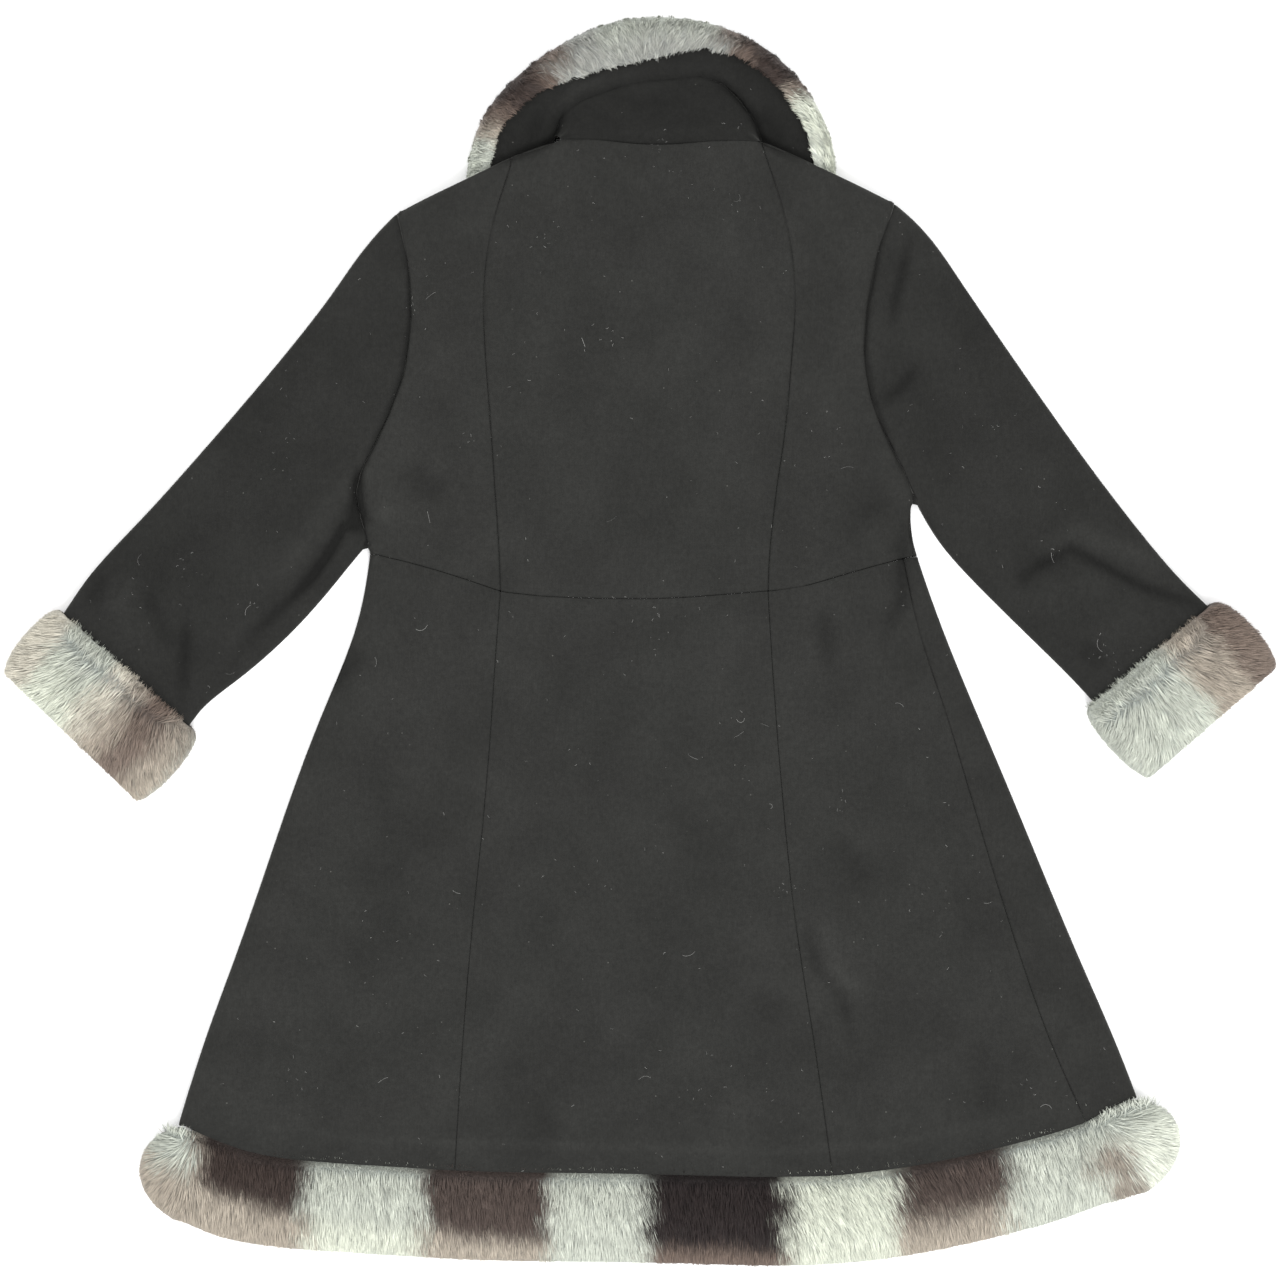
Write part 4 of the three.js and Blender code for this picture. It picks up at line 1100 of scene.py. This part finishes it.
class COAT_OT_hem_fur(bpy.types.Operator):
    """Makes the striped fur band of the hem, on the back and on both fronts"""

    bl_idname = "coat.hem_fur"
    bl_label = "Hem fur"
    bl_options = {"REGISTER", "UNDO"}

    def execute(self, context):
        fur = context.scene.coat_fur
        counts = (fur.hem_strands, fur.front_hem_strands, fur.front_hem_strands)
        for node, count in zip(HEM_NODES, counts):
            fur_piece(
                node, count, hem_flow, HEM_STRIPES, HEM_FADE, hem_place, hem_level, HEM_JITTER, HEM_MESS,
                hem_tone,
            )
        return {"FINISHED"}


# The cuffs, between the sleeve's seam and its end: the outer and the underarm corner of each.
CUFFS = {
    "left": {
        "seam": ((-346.8, 14.4), (-270.6, -52.8)), "end": ((-378.6, -23), (-304.5, -94)),
        "stripes": LEFT_CUFF_STRIPES, "turn": (-62, 52), "middle": -4, "tufts": (0.04, 0.16, 0.84, 0.96),
    },
    "right": {
        "seam": ((342.6, 19), (272.4, -38.4)), "end": ((379, -19), (308.5, -80.5)),
        "stripes": RIGHT_CUFF_STRIPES, "turn": (58, -78), "middle": 10, "tufts": (0.1, 0.24, 0.98, 1.06),
    },
}
PARTING = 9  # millimetres from the cuff's seam to the line where its fur parts
CUFF_BAND = 46  # millimetres from the cuff's seam to its end
UPPER_CUFF, UNDER_CUFF = 0.012, 0.009  # heights above and below which the cuff's fur is its upper or lower


def cuff_axes(cuff):
    """The cuff's corner at the outer edge of its seam, its directions down the arm and across, its width."""
    (ox, oy), (ix, iy) = cuff["seam"]
    (ex, ey), (fx, fy) = cuff["end"]
    down = np.array([ex + fx - ox - ix, ey + fy - oy - iy], float)
    down /= np.linalg.norm(down)
    across = np.array([ix - ox, iy - oy], float)
    width = np.linalg.norm(across)
    return np.array([ox, oy], float), down, across / width, width


def cuff_functions(cuff):
    corner, down, across, width = cuff_axes(cuff)

    def spot(points):
        away = points[:, :2] / MM - corner
        return away @ down, (away @ across) / width

    def flow(points, rng):
        reach, share = spot(points)
        first, last = cuff["turn"]
        middle = cuff["middle"]
        t = np.clip(share, -0.15, 1.15)
        angle = np.where(
            t < 0.5,
            middle + (first - middle) * (1 - smooth(-0.12, 0.5, t)),
            middle + (last - middle) * smooth(0.45, 1.1, t),
        )
        direction = turned(down, angle + 9 * waves(points, 0.03, 6))
        count = len(reach)
        start, full, last_full, end = cuff["tufts"]
        tufted = smooth(start, full, share) * (1 - smooth(last_full, end, share))
        parting = PARTING * tufted + 3.4 * waves(points, 0.018, 7)
        up = (reach + rng.normal(0, 2.2, count) < parting) & (points[:, 2] > UPPER_CUFF) & (tufted > 0.05)
        lean = rng.normal(0, 15, count) - 0.35 * angle + 14 * waves(points, 0.014, 8)
        direction[up] = turned(-down, lean)[up]
        past_seam = np.maximum(reach, 0) + rng.uniform(-1.5, 3.2, count)
        full_length = bpy.context.scene.coat_fur.strand_length
        length = np.where(up, np.maximum(past_seam, FUR_LEAST) * MM / full_length, 1)
        deep = 1 - 0.55 * np.exp(-(((reach - parting) / 5) ** 2)) * tufted
        end_height = np.where(up, points[:, 2] - rng.uniform(0, 0.0025, count), 0)
        return laid(direction, length, deep=deep, end_height=end_height)

    def place(points):
        share = spot(points)[1]
        below = points[:, 2] < UNDER_CUFF
        return np.where(below, 2 - np.clip(share, 0, 1), np.clip(share, 0, 1.1))

    def level(points):
        return spot(points)[0] / CUFF_BAND

    return flow, place, level


class COAT_OT_cuff_fur(bpy.types.Operator):
    """Makes the fur bands of the two cuffs"""

    bl_idname = "coat.cuff_fur"
    bl_label = "Cuff fur"
    bl_options = {"REGISTER", "UNDO"}

    def execute(self, context):
        for side, cuff in CUFFS.items():
            flow, place, level = cuff_functions(cuff)
            count = context.scene.coat_fur.cuff_strands
            fur_piece(
                "cuff_fur_" + side, count, flow, cuff["stripes"], CUFF_FADE, place, level, CUFF_JITTER,
                CUFF_MESS,
            )
        return {"FINISHED"}


COLLAR_CENTRE = (7.2, 277.8)
COLLAR_SEAM_ANGLE = -90  # directions are counted on from here
RIM_LIGHT = 0.25


def collar_angle(points):
    """The direction of a point from the collar's centre in degrees, from -90 to 270."""
    away = points[:, :2] / MM - COLLAR_CENTRE
    angle = np.degrees(np.arctan2(away[:, 1], away[:, 0]))
    return np.where(angle < COLLAR_SEAM_ANGLE, angle + 360, angle)


def collar_flow(points, rng):
    angle = collar_angle(points)
    inwards = -unit(points[:, :2] / MM - COLLAR_CENTRE)
    slant = -48 * smooth(44, 18, angle) * (angle > -20) + 20 * np.exp(-(((angle - 112) / 16) ** 2))
    slant = slant - 16 * np.exp(-(((angle - 78) / 14) ** 2)) + 12 * waves(points, 0.03, 8)
    return laid(turned(inwards, slant), 0.85 + 0.45 * waves(points, 0.01, 11), lean=0.95)


def collar_level(points):
    angle = collar_angle(points)
    band = np.array(COLLAR_BAND, float)
    rim, inner = (np.interp(angle, band[:, 0], band[:, k]) for k in (1, 2))
    radius = np.linalg.norm(points[:, :2] / MM - COLLAR_CENTRE, axis=1)
    return (rim - radius) / (rim - inner)


def collar_tone(points, level):
    """The tips catch more light round the rim."""
    return 1 + RIM_LIGHT * (1 - smooth(0, 0.2, level))


class COAT_OT_collar_fur(bpy.types.Operator):
    """Makes the fur collar, which lies under the coat and turns up round its own edge"""

    bl_idname = "coat.collar_fur"
    bl_label = "Collar fur"
    bl_options = {"REGISTER", "UNDO"}

    def execute(self, context):
        count = context.scene.coat_fur.collar_strands
        fur_piece(
            "collar_fur", count, collar_flow, COLLAR_STRIPES, COLLAR_FADE, collar_angle, collar_level,
            COLLAR_JITTER, COLLAR_MESS, collar_tone,
        )
        return {"FINISHED"}


# ---- lint ----
LINT_SCATTER = 430
LONG_LINT = 0.06  # share of the fibres that are long threads
LINT_WIDTH = 0.00013
LINT_JOINTS = 5
LINT_LIFT = 0.00018
LINT_AREA = ((-360, -320), (360, 340))  # millimetres
LINT_SPREAD = 0.5  # of a cluster's size, as the deviation of its fibres
ABOVE_ALL = 0.2


def lint_material():
    return mottled_material("lint", (0.2, 0.2, 0.19), 60, (0.35, 0.65, 0.35, 1.0), {"Roughness": 0.8})


class COAT_OT_lint(bpy.types.Operator):
    """Lays pale lint and loose fibres on the wool"""

    bl_idname = "coat.lint"
    bl_label = "Lint"
    bl_options = {"REGISTER", "UNDO"}

    def execute(self, context):
        rng = np.random.default_rng(SEED)
        meshes = [bpy.data.objects[node + "_cloth"].data for node in CLOTH_NODES]
        cloth = shape_tree(*((mesh_points(mesh), mesh_triangles(mesh)) for mesh in meshes))
        starts = [
            rng.normal((x, y), spread * LINT_SPREAD)
            for x, y, spread, number in LINT_CLUSTERS for _ in range(number)
        ]
        starts += list(rng.uniform(*LINT_AREA, (LINT_SCATTER, 2)))
        fibres = [f for f in (lint_fibre(cloth, start, rng) for start in starts) if f is not None]
        ribbon = np.stack(fibres)
        number = len(ribbon)
        first = 2 * LINT_JOINTS * np.arange(number)[:, None]
        quads = np.concatenate([first + 2 * k + [0, 1, 3, 2] for k in range(LINT_JOINTS - 1)])
        mesh = joined_mesh("lint", ribbon.reshape(-1, 3), quads, np.zeros((0, 3), int))
        add_piece("lint", mesh, lint_material())
        return {"FINISHED"}


def lint_fibre(cloth, start, rng):
    """One thin curled fibre that lies on the cloth, as pairs of points, or None where there is no cloth."""
    heading, bend = rng.uniform(0, 2 * math.pi), rng.normal(0, 0.55)
    step = rng.uniform(1.1, 2.2) if rng.random() < LONG_LINT else rng.uniform(0.1, 0.5)
    width = LINT_WIDTH * rng.uniform(0.6, 1.5)
    pairs, place = [], np.array(start, float)
    for _ in range(LINT_JOINTS):
        above = Vector((place[0] * MM, place[1] * MM, ABOVE_ALL))
        hit, normal, _, _ = cloth.ray_cast(above, Vector((0, 0, -1)))
        if hit is None or normal.z < 0.5:
            return None
        along = np.array([math.cos(heading), math.sin(heading), 0])
        side = np.array([-along[1], along[0], 0]) * width / 2
        centre = np.array(hit) + (0, 0, LINT_LIFT)
        pairs += [centre - side, centre + side]
        place = place + step * along[:2]
        heading += bend
    return np.array(pairs)


# ---- stage ----
FLOOR_SIDE = 8.0
COAT_MIDDLE = 0.012  # height of the coat that the view is set to
SENSOR = 36.0
KEY_PLACE = (0.3, -1.15, 2.5)
KEY_SIZE = 1.2


def floor_material(shade):
    inputs = {"Roughness": 0.9, "Specular IOR Level": 0.1}
    return mottled_material("pale_floor", (shade, shade, shade), 3, (0.3, 0.7, 0.99, 1.0), inputs)


def area_light(name, power, size, place, aim):
    data = bpy.data.lights.new(name, "AREA")
    data.energy = power
    data.shape = "DISK"
    data.size = size
    light = bpy.data.objects.new(name, data)
    light.location = place
    light.rotation_mode = "QUATERNION"
    light.rotation_quaternion = (Vector(aim) - Vector(place)).to_track_quat("-Z", "Y")
    bpy.context.scene.collection.objects.link(light)
    return light


class COAT_OT_stage(bpy.types.Operator):
    """Makes the pale surface, the soft light and the camera straight above"""

    bl_idname = "coat.stage"
    bl_label = "Stage"
    bl_options = {"REGISTER", "UNDO"}

    def execute(self, context):
        stage = context.scene.coat_stage
        shape = bmesh.new()
        bmesh.ops.create_grid(shape, x_segments=1, y_segments=1, size=FLOOR_SIDE / 2)
        mesh = bpy.data.meshes.new("floor")
        shape.to_mesh(mesh)
        shape.free()
        mesh.materials.append(floor_material(stage.floor_shade))
        floor = bpy.data.objects.new("floor", mesh)
        context.scene.collection.objects.link(floor)
        world = bpy.data.worlds.new("soft_sky")
        world.use_nodes = True
        background = world.node_tree.nodes["Background"]
        background.inputs["Color"].default_value = (1, 1, 1, 1)
        background.inputs["Strength"].default_value = stage.sky
        context.scene.world = world
        area_light("key_light", stage.key_light, KEY_SIZE, KEY_PLACE, (0, 0, 0))
        camera_data = bpy.data.cameras.new("camera")
        camera_data.sensor_width = SENSOR
        camera_data.lens = SENSOR * (stage.camera_height - COAT_MIDDLE) / stage.view_side
        camera_data.clip_start, camera_data.clip_end = 0.1, 50
        camera = bpy.data.objects.new("camera", camera_data)
        camera.location = (0, 0, stage.camera_height)
        context.scene.collection.objects.link(camera)
        context.scene.camera = camera
        context.scene.view_settings.view_transform = "Standard"
        return {"FINISHED"}


# ---- panel and registration ----
OPERATORS = (
    COAT_OT_back,
    COAT_OT_fronts,
    COAT_OT_sleeves,
    COAT_OT_collar_cloth,
    COAT_OT_hem_fur,
    COAT_OT_cuff_fur,
    COAT_OT_collar_fur,
    COAT_OT_lint,
    COAT_OT_stage,
)


class COAT_PT_panel(bpy.types.Panel):
    """Lists the steps that dress the coat, in order."""

    bl_label = "Princess coat"
    bl_idname = "COAT_PT_panel"
    bl_space_type = "VIEW_3D"
    bl_region_type = "UI"
    bl_category = "Coat"

    def draw(self, context):
        for operator in OPERATORS:
            self.layout.operator(operator.bl_idname)
        for settings in (context.scene.coat_wool, context.scene.coat_fur, context.scene.coat_stage):
            column = self.layout.column()
            for name in settings.__annotations__:
                column.prop(settings, name)


CLASSES = (WoolSettings, FurSettings, StageSettings, *OPERATORS, COAT_PT_panel)
FRAME_SHAPES = {
    node: (mesh_points(item.data), mesh_triangles(item.data)) for node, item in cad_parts.items()
}


def register():
    for cls in CLASSES:
        bpy.utils.register_class(cls)
    bpy.types.Scene.coat_wool = PointerProperty(type=WoolSettings)
    bpy.types.Scene.coat_fur = PointerProperty(type=FurSettings)
    bpy.types.Scene.coat_stage = PointerProperty(type=StageSettings)


def unregister():
    for name in ("coat_wool", "coat_fur", "coat_stage"):
        delattr(bpy.types.Scene, name)
    for cls in reversed(CLASSES):
        bpy.utils.unregister_class(cls)


def main():
    register()
    for operator in OPERATORS:
        group, name = operator.bl_idname.split(".")
        getattr(getattr(bpy.ops, group), name)()


if __name__ == "__main__":
    main()
